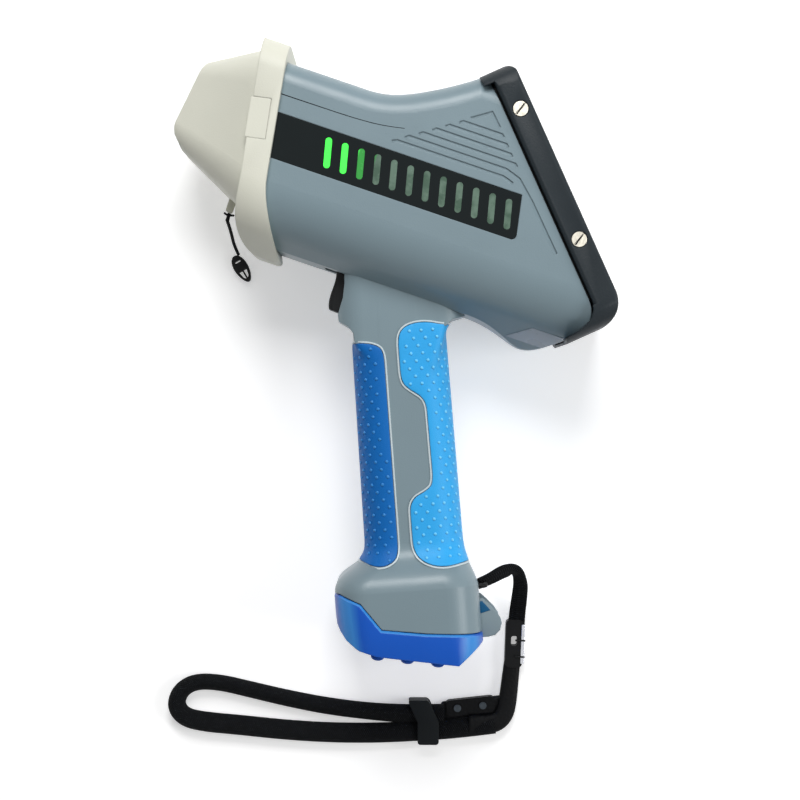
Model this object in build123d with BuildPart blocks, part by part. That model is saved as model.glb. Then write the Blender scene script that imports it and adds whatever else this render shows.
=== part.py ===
from build123d import *
import os
from math import cos, sin, tan, pi, radians, sqrt

# Handheld X-ray fluorescence analyzer, lying on its right side.
# +X runs from the measuring face to the display, +Y towards the top of the barrel and +Z out of
# its left side. The origin is the middle of the measuring face. Lengths are in millimetres.

# Driving dimensions ------------------------------------------------------------------------
body_half_width = 38.5        # barrel, half its width
rim_step = 3.5                # how far the nose flange and the display frame stand out at the sides
rim_half_width = body_half_width + rim_step
wall = 2.6                    # moulded housing wall
fit = 0.1                     # clearance round a part that seats in another
slide_gap = 0.4               # clearance round a part that moves

barrel_top = 27.8             # flat top of the barrel, above the measuring face's centre
barrel_bottom = -58.8         # flat underside
top_edge_radius = 11.0
rise_start = 83.8             # where the top starts to rise to the display's crest
crest_height = 50.6
tail_start = 163.0            # underside of the tail, behind the grip
tail_bottom = -65.3
roll_centre_y = -30.0         # where each flank starts to roll under
roll_radius = 28.0
roll_angle = 60.0

face_tilt = 7.35              # measuring face, leaning back at the top
face_top = 18.0
face_bottom = -23.5
face_half_width = 16.5
face_corner = 9.0
nose_wall = 3.0

flange_top_x = 28.8           # front edge of the flange at its top
flange_top = 35.8
flange_bottom = -64.6
flange_depth = 14.0
flange_slope = 9.7            # the flange leans forward at the top
flange_corner = 15.0
joint_depth = 7.0             # the nose meets the housing this far behind the flange's front edge

screen_tilt = 47.05           # display frame, below the barrel's axis
frame_back = 136.0            # distance of the frame's back and front planes from the origin
frame_front = 148.2
frame_upper = 53.8            # the frame's ends, measured down its slope
frame_lower = 188.0
frame_upper_radius = 6.0
frame_lower_radius = 14.0
frame_skirt = 117.4           # the lower lip wraps forward to this distance
frame_hood = 131.0            # the upper lip wraps forward to this distance
frame_lip = 2.2
gasket_thickness = 1.2
gasket_length = 111.0
frame_gap = 1.0               # shadow gap between the frame's lips and the barrel
body_corner_radius = 12.0

glass_upper = 66.0
glass_lower = 160.0
glass_half_width = 34.0
glass_thickness = 1.6
glass_recess = 0.6
glass_ledge = 4.0

grip_origin_x = 126.0         # top of the grip's axis
grip_origin_y = -56.0
grip_lean = 23.0              # the grip's axis leans back from straight down
grip_half_width = 17.5
grip_corner = 14.0
grip_front = -22.4
grip_rear = 22.4
grip_end = 127.0              # where the grip starts to widen into the foot
shoulder_end = 149.0
foot_front = -40.4
foot_rear = 30.0
foot_half_width = 30.5
foot_corner = 16.0
sole_front = 175.2            # distance of the sole from the grip's origin, front and rear
sole_rear = 189.8

well_half_width = 12.6        # battery well inside the grip
well_front = -16.0
well_rear = 16.0
well_top = 32.0

pad_depth = 1.6               # soft grips are let into the grip
pad_proud = 0.5

stripe_top = 2.5
stripe_bottom = -19.4
stripe_start = 44.0
stripe_end = 174.5
stripe_depth = 1.2
bar_count = 12
bar_pitch = 8.25
bar_width = 3.1
bar_height = 14.6
bar_start_x = 76.0
bar_slant = 13.5

groove_width = 1.3
groove_depth = 0.6

screw_head_radius = 3.6       # slotted screws in the display frame's flanks
screw_head_depth = 2.0
screw_shank_radius = 1.5
screw_length = 7.0
screw_slot = 0.9
screw_slot_angle = 67.0
frame_screw_out = 142.0
frame_screw_downs = (76.8, 144.8)

button_down = 168.0           # power button below the display
button_radius = 4.5
button_travel = 1.0
button_proud = 0.8

frame_plan_radius = 11.0
patch_depth = 0.8             # inset panel on the flange's flanks
patch_outline = [(33.0, 5.0), (42.8, 6.9), (46.2, -12.4), (36.2, -14.4)]

nose_base_height = 78.0
lug_drop = nose_base_height / 2 - 39.0   # the lug and its cord stay at the nose's lower edge
frame_edge_radius = 2.0
base_bevel = 1.2
nose_base_half_width = 38.0
nose_base_corner = 19.0
nose_base_middle = -7.0
face_edge_radius = 4.0
window_radius = 7.5
window_ring_radius = 11.5
window_ring_depth = 1.5
film_thickness = 0.2

pad_corner = 2.5
trigger_half_width = 7.0

latch_half_width = 8.0
latch_pin = (166.4, 33.8)     # along and across the grip
latch_pin_radius = 1.0
ear_thickness = 2.0

block_front = 48.0            # source block across the barrel
block_depth = 10.0
tube_radius = 10.0
detector_radius = 7.0

webbing_radius = 2.7
loop_radius = 4.75
tether_radius = 0.8
anchor_radius = 1.2
anchor_half_width = 7.0
anchor_along = 151.5
trigger_pin_radius = 1.5
trigger_pin_half_length = 17.9

os.makedirs("parts", exist_ok=True)

# Frames of reference -----------------------------------------------------------------------
tilt_cos = cos(radians(90 - screen_tilt))
tilt_sin = sin(radians(90 - screen_tilt))
lean_cos = cos(radians(grip_lean))
lean_sin = sin(radians(grip_lean))


def screen_point(down, out):
    """A point of the side view, given down the display's slope and out along its normal."""
    return (tilt_cos * out + tilt_sin * down, tilt_sin * out - tilt_cos * down)


def screen_plane(down, out):
    """A plane parallel to the display, its local X up the slope and its local Y along +Z."""
    x, y = screen_point(down, out)
    return Plane(origin=(x, y, 0), x_dir=(-tilt_sin, tilt_cos, 0), z_dir=(tilt_cos, tilt_sin, 0))


def grip_point(along, across):
    """A point of the side view, given down the grip's axis and towards the rear across it."""
    x = grip_origin_x + lean_sin * along + lean_cos * across
    y = grip_origin_y - lean_cos * along + lean_sin * across
    return (x, y)


def grip_plane(along):
    """A plane across the grip, its local X to the rear and its local Y along +Z."""
    x, y = grip_point(along, 0)
    return Plane(origin=(x, y, 0), x_dir=(lean_cos, lean_sin, 0), z_dir=(lean_sin, -lean_cos, 0))


def flange_point(y, behind):
    """A point of the side view at a height, measured behind the flange's sloping front edge."""
    x = flange_top_x + (flange_top - y) * sin(radians(flange_slope)) / cos(radians(flange_slope))
    return (x + behind, y)


def write(part, name):
    """Names a finished piece and writes its STEP file."""
    part.label = name
    export_step(part, f"parts/{name}.step")


# Outer forms -------------------------------------------------------------------------------
def barrel_section(grow, top, corner=0.0):
    """The barrel's cross-section swept along X: upright flanks that roll under at the bottom."""
    radius = roll_radius + grow
    half = body_half_width + grow
    centre_z = half - radius
    roll_y = roll_centre_y - radius * sin(radians(roll_angle))
    roll_z = centre_z + radius * cos(radians(roll_angle))
    keel_z = 3.0
    keel_y = roll_y - (roll_z - keel_z) * cos(radians(roll_angle)) / sin(radians(roll_angle))
    deep = keel_y - 30
    with BuildPart() as section:
        with BuildSketch(Plane.YZ.offset(-10)):
            with BuildLine():
                Line((top, 0), (top, half - corner))
                if corner > 0:
                    CenterArc((top - corner, half - corner), corner, 0, 90)
                Line((top - corner, half), (roll_centre_y, half))
                CenterArc((roll_centre_y, centre_z), radius, 90, roll_angle)
                Line((roll_y, roll_z), (keel_y, keel_z))
                Polyline((keel_y, keel_z), (deep, keel_z), (deep, 0), (top, 0))
            make_face()
        extrude(amount=270)
        mirror(about=Plane.XY)
    return section.part


def barrel_side(inset, opened):
    """The barrel and display wedge as a side view extruded across, with its top edges rounded.

    The inside is the same outline moved inwards by the wall, opened towards the nose and the display.
    """
    top = barrel_top - inset
    bottom = barrel_bottom + inset
    crest = crest_height - inset
    back = frame_back - gasket_thickness
    corner = body_corner_radius - inset
    centre_down = frame_lower - frame_lip - body_corner_radius
    centre_out = back - body_corner_radius
    back_now = back + 2 if opened else back - inset
    crest_down = (tilt_sin * back_now - crest) / tilt_cos
    skirt = screen_point(frame_lower - frame_lip - inset, frame_skirt + 3)
    arc_start = screen_point(centre_down, centre_out + corner)
    arc_end = screen_point(centre_down + corner, centre_out)
    front = joint_depth - 14 if opened else joint_depth + inset
    front_top = flange_point(top, front)
    front_low = flange_point(bottom, front)
    swell = (107.9 + 0.37 * inset, 34.6 - 0.93 * inset)
    crest_start = (133.2 + 0.5 * inset, crest)
    with BuildPart() as side:
        with BuildSketch(Plane.XY):
            with BuildLine():
                Line(front_top, (rise_start, top))
                Spline((rise_start, top), swell, crest_start, tangents=((1, 0), (0.8, 0.6)))
                Line(crest_start, screen_point(crest_down, back_now))
                Line(screen_point(crest_down, back_now), screen_point(centre_down, back_now))
                if opened:
                    Line(screen_point(centre_down, back_now), arc_start)
                TangentArc(arc_start, arc_end, tangent=(tilt_sin, -tilt_cos))
                Line(arc_end, skirt)
                Spline(skirt, (197.3, tail_bottom + inset), (tail_start, bottom),
                       tangents=((-tilt_cos, -tilt_sin), (-1, 0)))
                Line((tail_start, bottom), front_low)
                Line(front_low, front_top)
            make_face()
        half = body_half_width - inset
        extrude(amount=half, both=True)
        rims = side.edges().filter_by(lambda e: abs(abs(e.center().Z) - half) < 0.01)
        crown = rims.filter_by(lambda e: e.center().Y > top - 0.5 and e.center().X < crest_start[0] + 3)
        fillet(crown, top_edge_radius - inset)
    return side.part


def barrel(inset, opened=False):
    """The barrel with its rolled lower flanks."""
    with BuildPart() as form:
        add(barrel_side(inset, opened))
        add(barrel_section(-inset, 80), mode=Mode.INTERSECT)
    return form.part


def rounded_length(plane, front, rear, half, corner, length):
    """A rounded bar along the grip's axis, starting at a plane across it."""
    with BuildPart() as bar:
        with BuildSketch(plane) as section:
            with Locations(((front + rear) / 2, 0)):
                RectangleRounded(rear - front, 2 * half, min(corner, half - 0.2))
        extrude(amount=length)
    return bar.part


def neck(inset):
    """The block behind the trigger that joins the grip to the barrel's underside."""
    outline = [(98.5, -40), (99.8, -56.4), (102.3, -63.3), (103.8, -70.3), (104.0, -79.0), (105.5, -82.0),
               (111.0, -83.0), (114.5, -85.5), (118.5, -93.0), (158.0, -93.0), (156.5, -66.0),
               (158.5, -62.8), (163.5, -59.5), (163.5, -40)]
    with BuildPart() as block:
        add(rounded_length(grip_plane(-32), -31 + inset, 34, grip_half_width - inset, grip_corner, 75))
        with BuildSketch(Plane.XY.offset(-30)):
            with BuildLine():
                Polyline(*outline, close=True)
            make_face()
            if inset > 0:
                offset(amount=-inset, kind=Kind.INTERSECTION)
        extrude(amount=60, mode=Mode.INTERSECT)
    return block.part


def grip(inset):
    """The grip's straight length, slightly deeper at its foot."""
    with BuildPart() as form:
        for along, spread in ((0.0, 0.0), (grip_end, 1.2)):
            with BuildSketch(grip_plane(along)):
                with Locations(((grip_front + grip_rear) / 2, 0)):
                    RectangleRounded(grip_rear - grip_front + 2 * spread - 2 * inset,
                                     2 * (grip_half_width + spread / 2 - inset), grip_corner - inset)
        loft()
    return form.part


def foot_section(front, rear, half, corner, inset):
    """A rounded rectangle across the grip, for the foot's loft."""
    with Locations(((front + rear) / 2, 0)):
        RectangleRounded(rear - front - 2 * inset, 2 * (half - inset), corner - inset)


def foot(inset):
    """The shoulder that widens from the grip and the upright foot under it, cut off at the sole."""
    steps = ((grip_end, grip_front - 1.2, grip_rear + 1.2, grip_half_width + 0.6, grip_corner),
             (grip_end + 9, -29.0, 25.0, 22.0, 14.5),
             (grip_end + 15, -37.6, 27.6, 27.8, 15.5),
             (shoulder_end, foot_front, foot_rear, foot_half_width, foot_corner))
    with BuildPart() as form:
        for along, front, rear, half, corner in steps:
            with BuildSketch(grip_plane(along)):
                foot_section(front, rear, half, corner, inset)
        loft()
        with BuildSketch(grip_plane(shoulder_end)):
            foot_section(foot_front, foot_rear, foot_half_width, foot_corner, inset)
        extrude(amount=sole_rear - shoulder_end + 5)
        sole = [grip_point(sole_front - inset, foot_front - 5), grip_point(sole_rear - inset, foot_rear + 5)]
        with BuildSketch(Plane.XY.offset(-50)):
            with BuildLine():
                Polyline(grip_point(100, -60), *sole, grip_point(100, 60), close=True)
            make_face()
        extrude(amount=100, mode=Mode.INTERSECT)
    return form.part



def side_prism(points, half):
    """A straight-sided outline of the side view, extruded to both sides."""
    with BuildPart() as prism:
        with BuildSketch(Plane.XY.offset(-half)):
            with BuildLine():
                Polyline(*points, close=True)
            make_face()
        extrude(amount=2 * half)
    return prism.part


def parting(gap):
    """The region below the line where the battery's base meets the foot."""
    line = [(148.5 + gap, -60), (148.5 + gap, -38), (153.5 + gap, -27.8), (166.5 + gap, -18.5),
            (169.8 + gap, 2.5), (172.3 + gap, 28), (172.3 + gap, 60)]
    points = [grip_point(along, across) for along, across in line]
    return side_prism(points + [grip_point(230, 60), grip_point(230, -60)], 60)


# Housing -----------------------------------------------------------------------------------
def housing_outer():
    """The whole moulded housing as one solid form."""
    with BuildPart() as form:
        add(barrel(0))
        add(neck(0))
        add(grip(0))
        add(foot(0))
        add(parting(0), mode=Mode.SUBTRACT)
    return form.part


def housing_inner():
    """The space inside the housing, open to the nose, to the display and to the battery well."""
    with BuildPart() as form:
        add(barrel(wall, True))
        add(neck(wall))
        add(grip(wall))
        add(foot(wall))
    return form.part


def pad_region(outline, shrink):
    """The band just under the grip's skin that a soft pad fills, inside an outline of the side view."""
    points = [grip_point(along, across) for along, across in outline]
    with BuildPart() as region:
        add(grip_skin(pad_proud))
        add(grip_skin(-pad_depth), mode=Mode.SUBTRACT)
        with BuildSketch(Plane.XY.offset(-40)):
            with BuildLine():
                Polyline(*points, close=True)
            make_face()
            if shrink > 0:
                offset(amount=-shrink, kind=Kind.INTERSECTION)
        extrude(amount=80, mode=Mode.INTERSECT)
    return region.part


def grip_skin(grow):
    """The grip and its shoulder, grown outwards."""
    with BuildPart() as skin:
        add(grip(-grow))
        add(foot(-grow))
        add(neck(-grow))
    return skin.part



front_pad_outline = [(26.5, -60), (27.8, -18), (29.3, -11.5), (32.5, -8.2), (132.3, -8.2), (135.8, -12),
                     (137.0, -17), (136.0, -22), (132.8, -29), (132.5, -60)]
rear_pad_outline = [(22.0, 60), (22.0, 22.7), (19.5, 13.5), (20.2, 5), (24.5, -0.3), (47.5, -0.3),
                    (51.5, 3), (57.0, 11.2), (97.5, 11.8), (101.5, 9.5), (106.0, -0.4), (131.0, -0.4),
                    (136.5, 4.5), (139.0, 13), (137.4, 26), (137.0, 60)]


def stripe_outline(shrink):
    """The long window in each flank, with its slanted rear end."""
    with BuildSketch(Plane.XY) as outline:
        with BuildLine():
            Polyline((stripe_start, stripe_top), (stripe_end - 4.3, stripe_top), (stripe_end, stripe_bottom),
                     (stripe_start, stripe_bottom), close=True)
        make_face()
        fillet(outline.vertices().group_by(Axis.X)[-1], 2.4)
        if shrink > 0:
            offset(amount=-shrink, kind=Kind.INTERSECTION)
    return outline.sketch


def grooves():
    """Engraved lines above the stripe: a peak, four bars, and two that turn down along the frame."""
    depth_z = body_half_width - groove_depth
    paths = [[(135.4, 29.1), (144.0, 35.0), (149.7, 29.3)]]
    bars = ((26.5, 130.9, 153.0), (22.7, 125.2, 156.5), (19.0, 119.9, 159.9), (15.2, 114.3, 163.5))
    for height, left, right in bars:
        paths.append([(left, height - 1.3), (left + 1.6, height), (right - 1.2, height), (right, height - 1.1)])
    paths.append([(108.5, 10.2), (110.3, 11.5), (159.0, 11.5), (166.5, 9.1), (175.6, 0.8), (194.7, -19.2)])
    paths.append([(103.2, 6.6), (105.3, 7.7), (158.9, 7.7), (164.2, 6.1)])
    with BuildPart() as cuts:
        with BuildSketch(Plane.XY.offset(depth_z)):
            for path in paths:
                with BuildLine() as line:
                    Polyline(*path)
                trace(line.line, groove_width)
        extrude(amount=2)
    return cuts.part


def screw_places():
    """Housing screws, in the side view."""
    return [(64.0, 18.0), (70.0, -44.0), (116.0, 24.0)]


def screw_flank(place):
    """How far from the middle plane the flank lies at a housing screw, less where the barrel rolls in."""
    return body_half_width if place[1] > -28 else body_half_width - 4.2


def flank_cuts():
    """The stripe's pocket and the engraved lines of the left flank."""
    with BuildPart() as cuts:
        with BuildSketch(Plane.XY.offset(body_half_width - stripe_depth)):
            add(stripe_outline(0))
        extrude(amount=3)
        add(grooves())
    return cuts.part


def make_housings():
    """Left and right halves, meeting at the middle plane."""
    with BuildPart() as whole:
        add(housing_outer())
        add(housing_inner(), mode=Mode.SUBTRACT)
        add(bosses())
        add(pad_region(front_pad_outline, 0), mode=Mode.SUBTRACT)
        add(pad_region(rear_pad_outline, 0), mode=Mode.SUBTRACT)
        add(trigger_slot(), mode=Mode.SUBTRACT)
        add(anchor_holes(), mode=Mode.SUBTRACT)
    with BuildPart() as left:
        add(whole.part)
        split(bisect_by=Plane.XY, keep=Keep.TOP)
        add(flank_cuts(), mode=Mode.SUBTRACT)
    write(left.part, "housing_left")
    with BuildPart() as right:
        add(whole.part)
        split(bisect_by=Plane.XY, keep=Keep.BOTTOM)
        mirror(flank_cuts(), about=Plane.XY, mode=Mode.SUBTRACT)
        add(screw_holes(), mode=Mode.SUBTRACT)
    write(right.part, "housing_right")


def bosses():
    """Screw bosses joining both halves, clear of the battery well."""
    with BuildPart() as posts:
        with BuildSketch(Plane.XY.offset(-body_half_width + wall / 2)):
            with Locations(*screw_places()):
                Circle(3.6)
        extrude(amount=2 * body_half_width - wall)
        add(barrel(wall / 2), mode=Mode.INTERSECT)
    return posts.part


def anchor_holes():
    """Two holes in the foot's rear wall that hold the ends of the strap's wire anchor."""
    with BuildPart() as holes:
        x, y = grip_point(anchor_along, foot_rear - wall - 1)
        with BuildSketch(Plane(origin=(x, y, 0), x_dir=(0, 0, 1), z_dir=(lean_cos, lean_sin, 0))):
            with Locations((anchor_half_width, 0), (-anchor_half_width, 0)):
                Circle(anchor_radius + 0.05)
        extrude(amount=wall + 4)
    return holes.part


def screw_holes():
    """Counterbored screw holes in the right half's flank."""
    with BuildPart() as holes:
        for place in screw_places():
            with BuildSketch(Plane.XY.offset(4 - screw_flank(place))):
                with Locations(place):
                    Circle(2.9)
            extrude(amount=-9)
        with BuildSketch(Plane.XY.offset(-body_half_width)):
            with Locations(*screw_places()):
                Circle(1.6)
        extrude(amount=body_half_width)
    return holes.part


def trigger_slot():
    """The opening in the neck's front wall that the trigger swings through."""
    points = [(90, -50.5), (112, -50.5), (112, -79.5), (90, -79.5)]
    return side_prism(points, trigger_half_width + slide_gap)


# Trigger -----------------------------------------------------------------------------------
trigger_pin = (103.5, -53.5)


def make_trigger():
    """A curved lever hanging from a cross pin."""
    with BuildPart() as lever:
        with BuildSketch(Plane.XY.offset(-trigger_half_width)):
            with BuildLine():
                Polyline((106.0, -51.2), (97.2, -51.0), (92.8, -54.2))
                Spline((92.8, -54.2), (97.0, -63.0), (97.6, -75.0), (98.6, -77.6))
                Polyline((98.6, -77.6), (108.5, -77.9), (106.5, -66.0), (108.0, -55.0), (106.0, -51.2))
            make_face()
        extrude(amount=2 * trigger_half_width)
        front = lever.edges().filter_by(lambda e: e.center().X < 99 and e.center().Y < -56)
        fillet(front.filter_by(lambda e: abs(e.center().Z) > trigger_half_width - 0.1), 2.0)
        with BuildSketch(Plane.XY.offset(-trigger_half_width)):
            with Locations(trigger_pin):
                Circle(trigger_pin_radius + 0.05)
        extrude(amount=2 * trigger_half_width, mode=Mode.SUBTRACT)
    write(lever.part, "trigger")
    with BuildPart() as pin:
        with BuildSketch(Plane.XY.offset(-trigger_pin_half_length)):
            with Locations(trigger_pin):
                Circle(trigger_pin_radius)
        extrude(amount=2 * trigger_pin_half_length)
    write(pin.part, "trigger_pin")


# Soft grips --------------------------------------------------------------------------------
def make_pads():
    """Two soft mouldings let into the grip, one round its front and one round its rear."""
    write(pad_region(front_pad_outline, fit), "front_grip_pad")
    write(pad_region(rear_pad_outline, fit), "rear_grip_pad")


# Nose --------------------------------------------------------------------------------------
def face_plane(behind):
    """A plane parallel to the measuring face, local X up it and local Y along +Z."""
    up = (sin(radians(face_tilt)), cos(radians(face_tilt)), 0)
    back = (cos(radians(face_tilt)), -sin(radians(face_tilt)), 0)
    return Plane(origin=(back[0] * behind, back[1] * behind, 0), x_dir=up, z_dir=back)


def flange_plane(behind):
    """A plane along the flange's sloping front edge, local X up it and local Y along +Z."""
    slope = radians(flange_slope)
    x, y = flange_point(nose_base_middle, behind)
    return Plane(origin=(x, y, 0), x_dir=(-sin(slope), cos(slope), 0), z_dir=(cos(slope), sin(slope), 0))


def nose_form(inset, behind):
    """The nose: a loft from the measuring face to its base, with a short collar behind it."""
    middle = (face_top + face_bottom) / 2
    with BuildPart() as form:
        with BuildSketch(face_plane(inset)):
            with Locations((middle, 0)):
                RectangleRounded(face_top - face_bottom - 2 * inset, 2 * (face_half_width - inset),
                                 face_corner - inset)
        with BuildSketch(flange_plane(0)):
            RectangleRounded(nose_base_height - 2 * inset, 2 * (nose_base_half_width - inset),
                             nose_base_corner - inset)
        loft()
        if inset == 0:
            rim = form.faces().sort_by(Axis.X)[0].edges()
            fillet(rim, face_edge_radius)
        with BuildSketch(flange_plane(0)):
            RectangleRounded(nose_base_height - 2 * inset, 2 * (nose_base_half_width - inset),
                             nose_base_corner - inset)
        extrude(amount=behind)
    return form.part


def make_nose():
    """The hollow nose with its measuring window."""
    with BuildPart() as nose:
        add(nose_form(0, joint_depth - fit))
        add(nose_form(nose_wall, joint_depth + 5), mode=Mode.SUBTRACT)
        with BuildSketch(face_plane(-1)):
            Circle(window_radius)
        extrude(amount=nose_wall + 3, mode=Mode.SUBTRACT)
        with BuildSketch(face_plane(-1)):
            Circle(window_ring_radius + fit)
        extrude(amount=1 + window_ring_depth, mode=Mode.SUBTRACT)
    write(nose.part, "nose_cone")
    with BuildPart() as ring:
        with BuildSketch(face_plane(0)):
            Circle(window_ring_radius)
            Circle(window_radius, mode=Mode.SUBTRACT)
        extrude(amount=window_ring_depth - film_thickness)
    write(ring.part, "window_ring")
    with BuildPart() as film:
        with BuildSketch(face_plane(window_ring_depth - film_thickness)):
            Circle(window_ring_radius - 0.5)
        extrude(amount=film_thickness)
    write(film.part, "window_film")


def make_flange():
    """The raised band round the joint between nose and barrel, swept back at its foot."""
    slope = radians(flange_slope)
    along = (sin(slope), -cos(slope))
    front_top = flange_point(flange_top, 0)
    rear_top = flange_point(flange_top, flange_depth - 1.0)
    front_bend = flange_point(-30, 0)
    rear_bend = flange_point(-29, flange_depth - 1.4)
    with BuildPart() as flange:
        with BuildSketch(Plane.XY.offset(-rim_half_width)):
            with BuildLine():
                Line(front_top, front_bend)
                Spline(front_bend, (43.2, -50.5), (55.8, flange_bottom), tangents=(along, (1, -0.3)))
                Line((55.8, flange_bottom), (69.5, flange_bottom))
                Spline((69.5, flange_bottom), (58.8, -46.5), rear_bend, tangents=((-0.6, 0.8), (-along[0], -along[1])))
                Line(rear_bend, rear_top)
                Line(rear_top, front_top)
            make_face()
        extrude(amount=2 * rim_half_width)
        add(barrel_section(rim_step, flange_top, flange_corner), mode=Mode.INTERSECT)
        add(nose_form(-fit, joint_depth), mode=Mode.SUBTRACT)
        add(barrel(-fit), mode=Mode.SUBTRACT)
        add(barrel(wall, True), mode=Mode.SUBTRACT)
        for side in (1, -1):
            with BuildSketch(Plane.XY.offset(side * (rim_half_width - patch_depth))):
                with BuildLine():
                    Polyline(*patch_outline, close=True)
                make_face()
            extrude(amount=side * 4, mode=Mode.SUBTRACT)
    write(flange.part, "nose_flange")
    for side, name in ((1, "flange_insert_left"), (-1, "flange_insert_right")):
        with BuildPart() as insert:
            with BuildSketch(Plane.XY.offset(side * (rim_half_width - patch_depth))):
                with BuildLine():
                    Polyline(*patch_outline, close=True)
                make_face()
                offset(amount=-fit, kind=Kind.INTERSECTION)
            extrude(amount=side * (patch_depth - 0.1))
        write(insert.part, name)


# Side windows ------------------------------------------------------------------------------
def bar_outline(index, shrink):
    """One slanted light bar of the stripe."""
    lean = (stripe_top - stripe_bottom) / 2
    x = bar_start_x + index * bar_pitch
    y = (stripe_top + stripe_bottom) / 2
    with BuildSketch(Plane.XY) as bar:
        with Locations(Location((x, y), bar_slant)):
            RectangleRounded(bar_width - 2 * shrink, bar_height - 2 * shrink, bar_width / 2 - shrink - 0.05)
    return bar.sketch


def make_side_window(side, name):
    """The glossy strip let into one flank, with a row of light bars in it."""
    back = side * (body_half_width - stripe_depth)
    with BuildPart() as strip:
        with BuildSketch(Plane.XY.offset(back)):
            add(stripe_outline(fit))
            for index in range(bar_count):
                add(bar_outline(index, -0.05), mode=Mode.SUBTRACT)
        extrude(amount=side * (stripe_depth - 0.1))
        add(flange_band_space(), mode=Mode.SUBTRACT)
    write(strip.part, f"side_window_{name}")
    with BuildPart() as bars:
        with BuildSketch(Plane.XY.offset(back)):
            for index in range(bar_count):
                add(bar_outline(index, 0))
        extrude(amount=side * stripe_depth)
    write(bars.part, f"light_bars_{name}")


def flange_band_space():
    """The space in front of the flange's rear edge, which the side windows stop short of."""
    return side_prism([(0, 40), flange_point(40, flange_depth - 1.2), flange_point(-40, flange_depth - 1.2),
                       (0, -40)], 50)


# Display frame -----------------------------------------------------------------------------
def glass_sketch(plane, shrink):
    """The display window's rounded outline on a plane of the frame."""
    with BuildSketch(plane) as window:
        RectangleRounded(glass_lower - glass_upper - 2 * shrink, 2 * (glass_half_width - shrink), 4)
    return window.sketch


def frame_opening():
    """The recess for the glass, the opening behind it, and the button's bore."""
    middle = (glass_upper + glass_lower) / 2
    with BuildPart() as opening:
        with BuildSketch(screen_plane(middle, frame_front - glass_recess - glass_thickness)):
            RectangleRounded(glass_lower - glass_upper, 2 * glass_half_width, 4)
        extrude(amount=10)
        with BuildSketch(screen_plane(middle, frame_back - 10)):
            RectangleRounded(glass_lower - glass_upper - 2 * glass_ledge, 2 * (glass_half_width - glass_ledge), 3)
        extrude(amount=24)
        with BuildSketch(screen_plane(button_down, frame_back + 3.5)):
            Circle(button_radius + 0.2)
        extrude(amount=20)
    return opening.part


def frame_screw_places():
    """The side screws' places, in the side view."""
    return [screen_point(down, frame_screw_out) for down in frame_screw_downs]


def frame_screw_bores():
    """Counterbored holes in both flanks of the frame."""
    with BuildPart() as bores:
        for side in (1, -1):
            with BuildSketch(Plane.XY.offset(side * (rim_half_width - screw_head_depth))):
                with Locations(*frame_screw_places()):
                    Circle(screw_head_radius + 0.35)
            extrude(amount=side * 5)
            with BuildSketch(Plane.XY.offset(side * (rim_half_width - screw_length))):
                with Locations(*frame_screw_places()):
                    Circle(screw_shank_radius + 0.02)
            extrude(amount=side * screw_length)
    return bores.part


def frame_rim_edges(solid):
    """The edges round the outer side of the frame's two flanks, at the screen's end."""
    picked = []
    for edge in solid.edges():
        middle = edge.center()
        out = middle.X * tilt_cos + middle.Y * tilt_sin
        if abs(abs(middle.Z) - rim_half_width) < 0.01 and out > frame_front - frame_lower_radius:
            picked.append(edge)
    return picked


def make_frame():
    """The black display frame: a thick rim with a lip over the barrel's upper and lower corners."""
    middle = (frame_upper + frame_lower) / 2
    down_slope = (tilt_sin, -tilt_cos)
    with BuildPart() as frame:
        with BuildSketch(Plane.XY.offset(-rim_half_width)):
            with BuildLine():
                up = frame_upper + frame_upper_radius
                low = frame_lower - frame_lower_radius
                Line(screen_point(frame_upper, frame_hood), screen_point(frame_upper, frame_front - frame_upper_radius))
                TangentArc(screen_point(frame_upper, frame_front - frame_upper_radius),
                           screen_point(up, frame_front), tangent=(tilt_cos, tilt_sin))
                Line(screen_point(up, frame_front), screen_point(low, frame_front))
                TangentArc(screen_point(low, frame_front), screen_point(frame_lower, frame_front - frame_lower_radius),
                           tangent=down_slope)
                Line(screen_point(frame_lower, frame_front - frame_lower_radius),
                     screen_point(frame_lower, frame_skirt))
                Line(screen_point(frame_lower, frame_skirt), screen_point(frame_lower - 12, frame_skirt))
                Line(screen_point(frame_lower - 12, frame_skirt), screen_point(frame_lower - 12, frame_back))
                Line(screen_point(frame_lower - 12, frame_back), screen_point(frame_upper + 6, frame_back))
                Line(screen_point(frame_upper + 6, frame_back), screen_point(frame_upper + 6, frame_hood))
                Line(screen_point(frame_upper + 6, frame_hood), screen_point(frame_upper, frame_hood))
            make_face()
        extrude(amount=2 * rim_half_width)
        fillet(frame_rim_edges(frame.part), frame_edge_radius)
        with BuildSketch(screen_plane(middle, frame_skirt - 20)) as plan:
            Rectangle(frame_lower - frame_upper, 2 * rim_half_width)
            fillet(plan.vertices(), frame_plan_radius)
        extrude(amount=60, mode=Mode.INTERSECT)
        add(barrel(-frame_gap), mode=Mode.SUBTRACT)
        add(frame_opening(), mode=Mode.SUBTRACT)
        add(frame_screw_bores(), mode=Mode.SUBTRACT)
    write(frame.part, "display_frame")
    with BuildPart() as gasket:
        with BuildSketch(screen_plane(middle, frame_back - gasket_thickness)):
            with Locations((middle - (frame_lower + frame_upper - 7) / 2, 0)):
                Rectangle(gasket_length, 2 * (body_half_width - 1.2))
                Rectangle(gasket_length - 14, 2 * (body_half_width - 8), mode=Mode.SUBTRACT)
        extrude(amount=gasket_thickness - 0.05)
    write(gasket.part, "frame_gasket")


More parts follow.
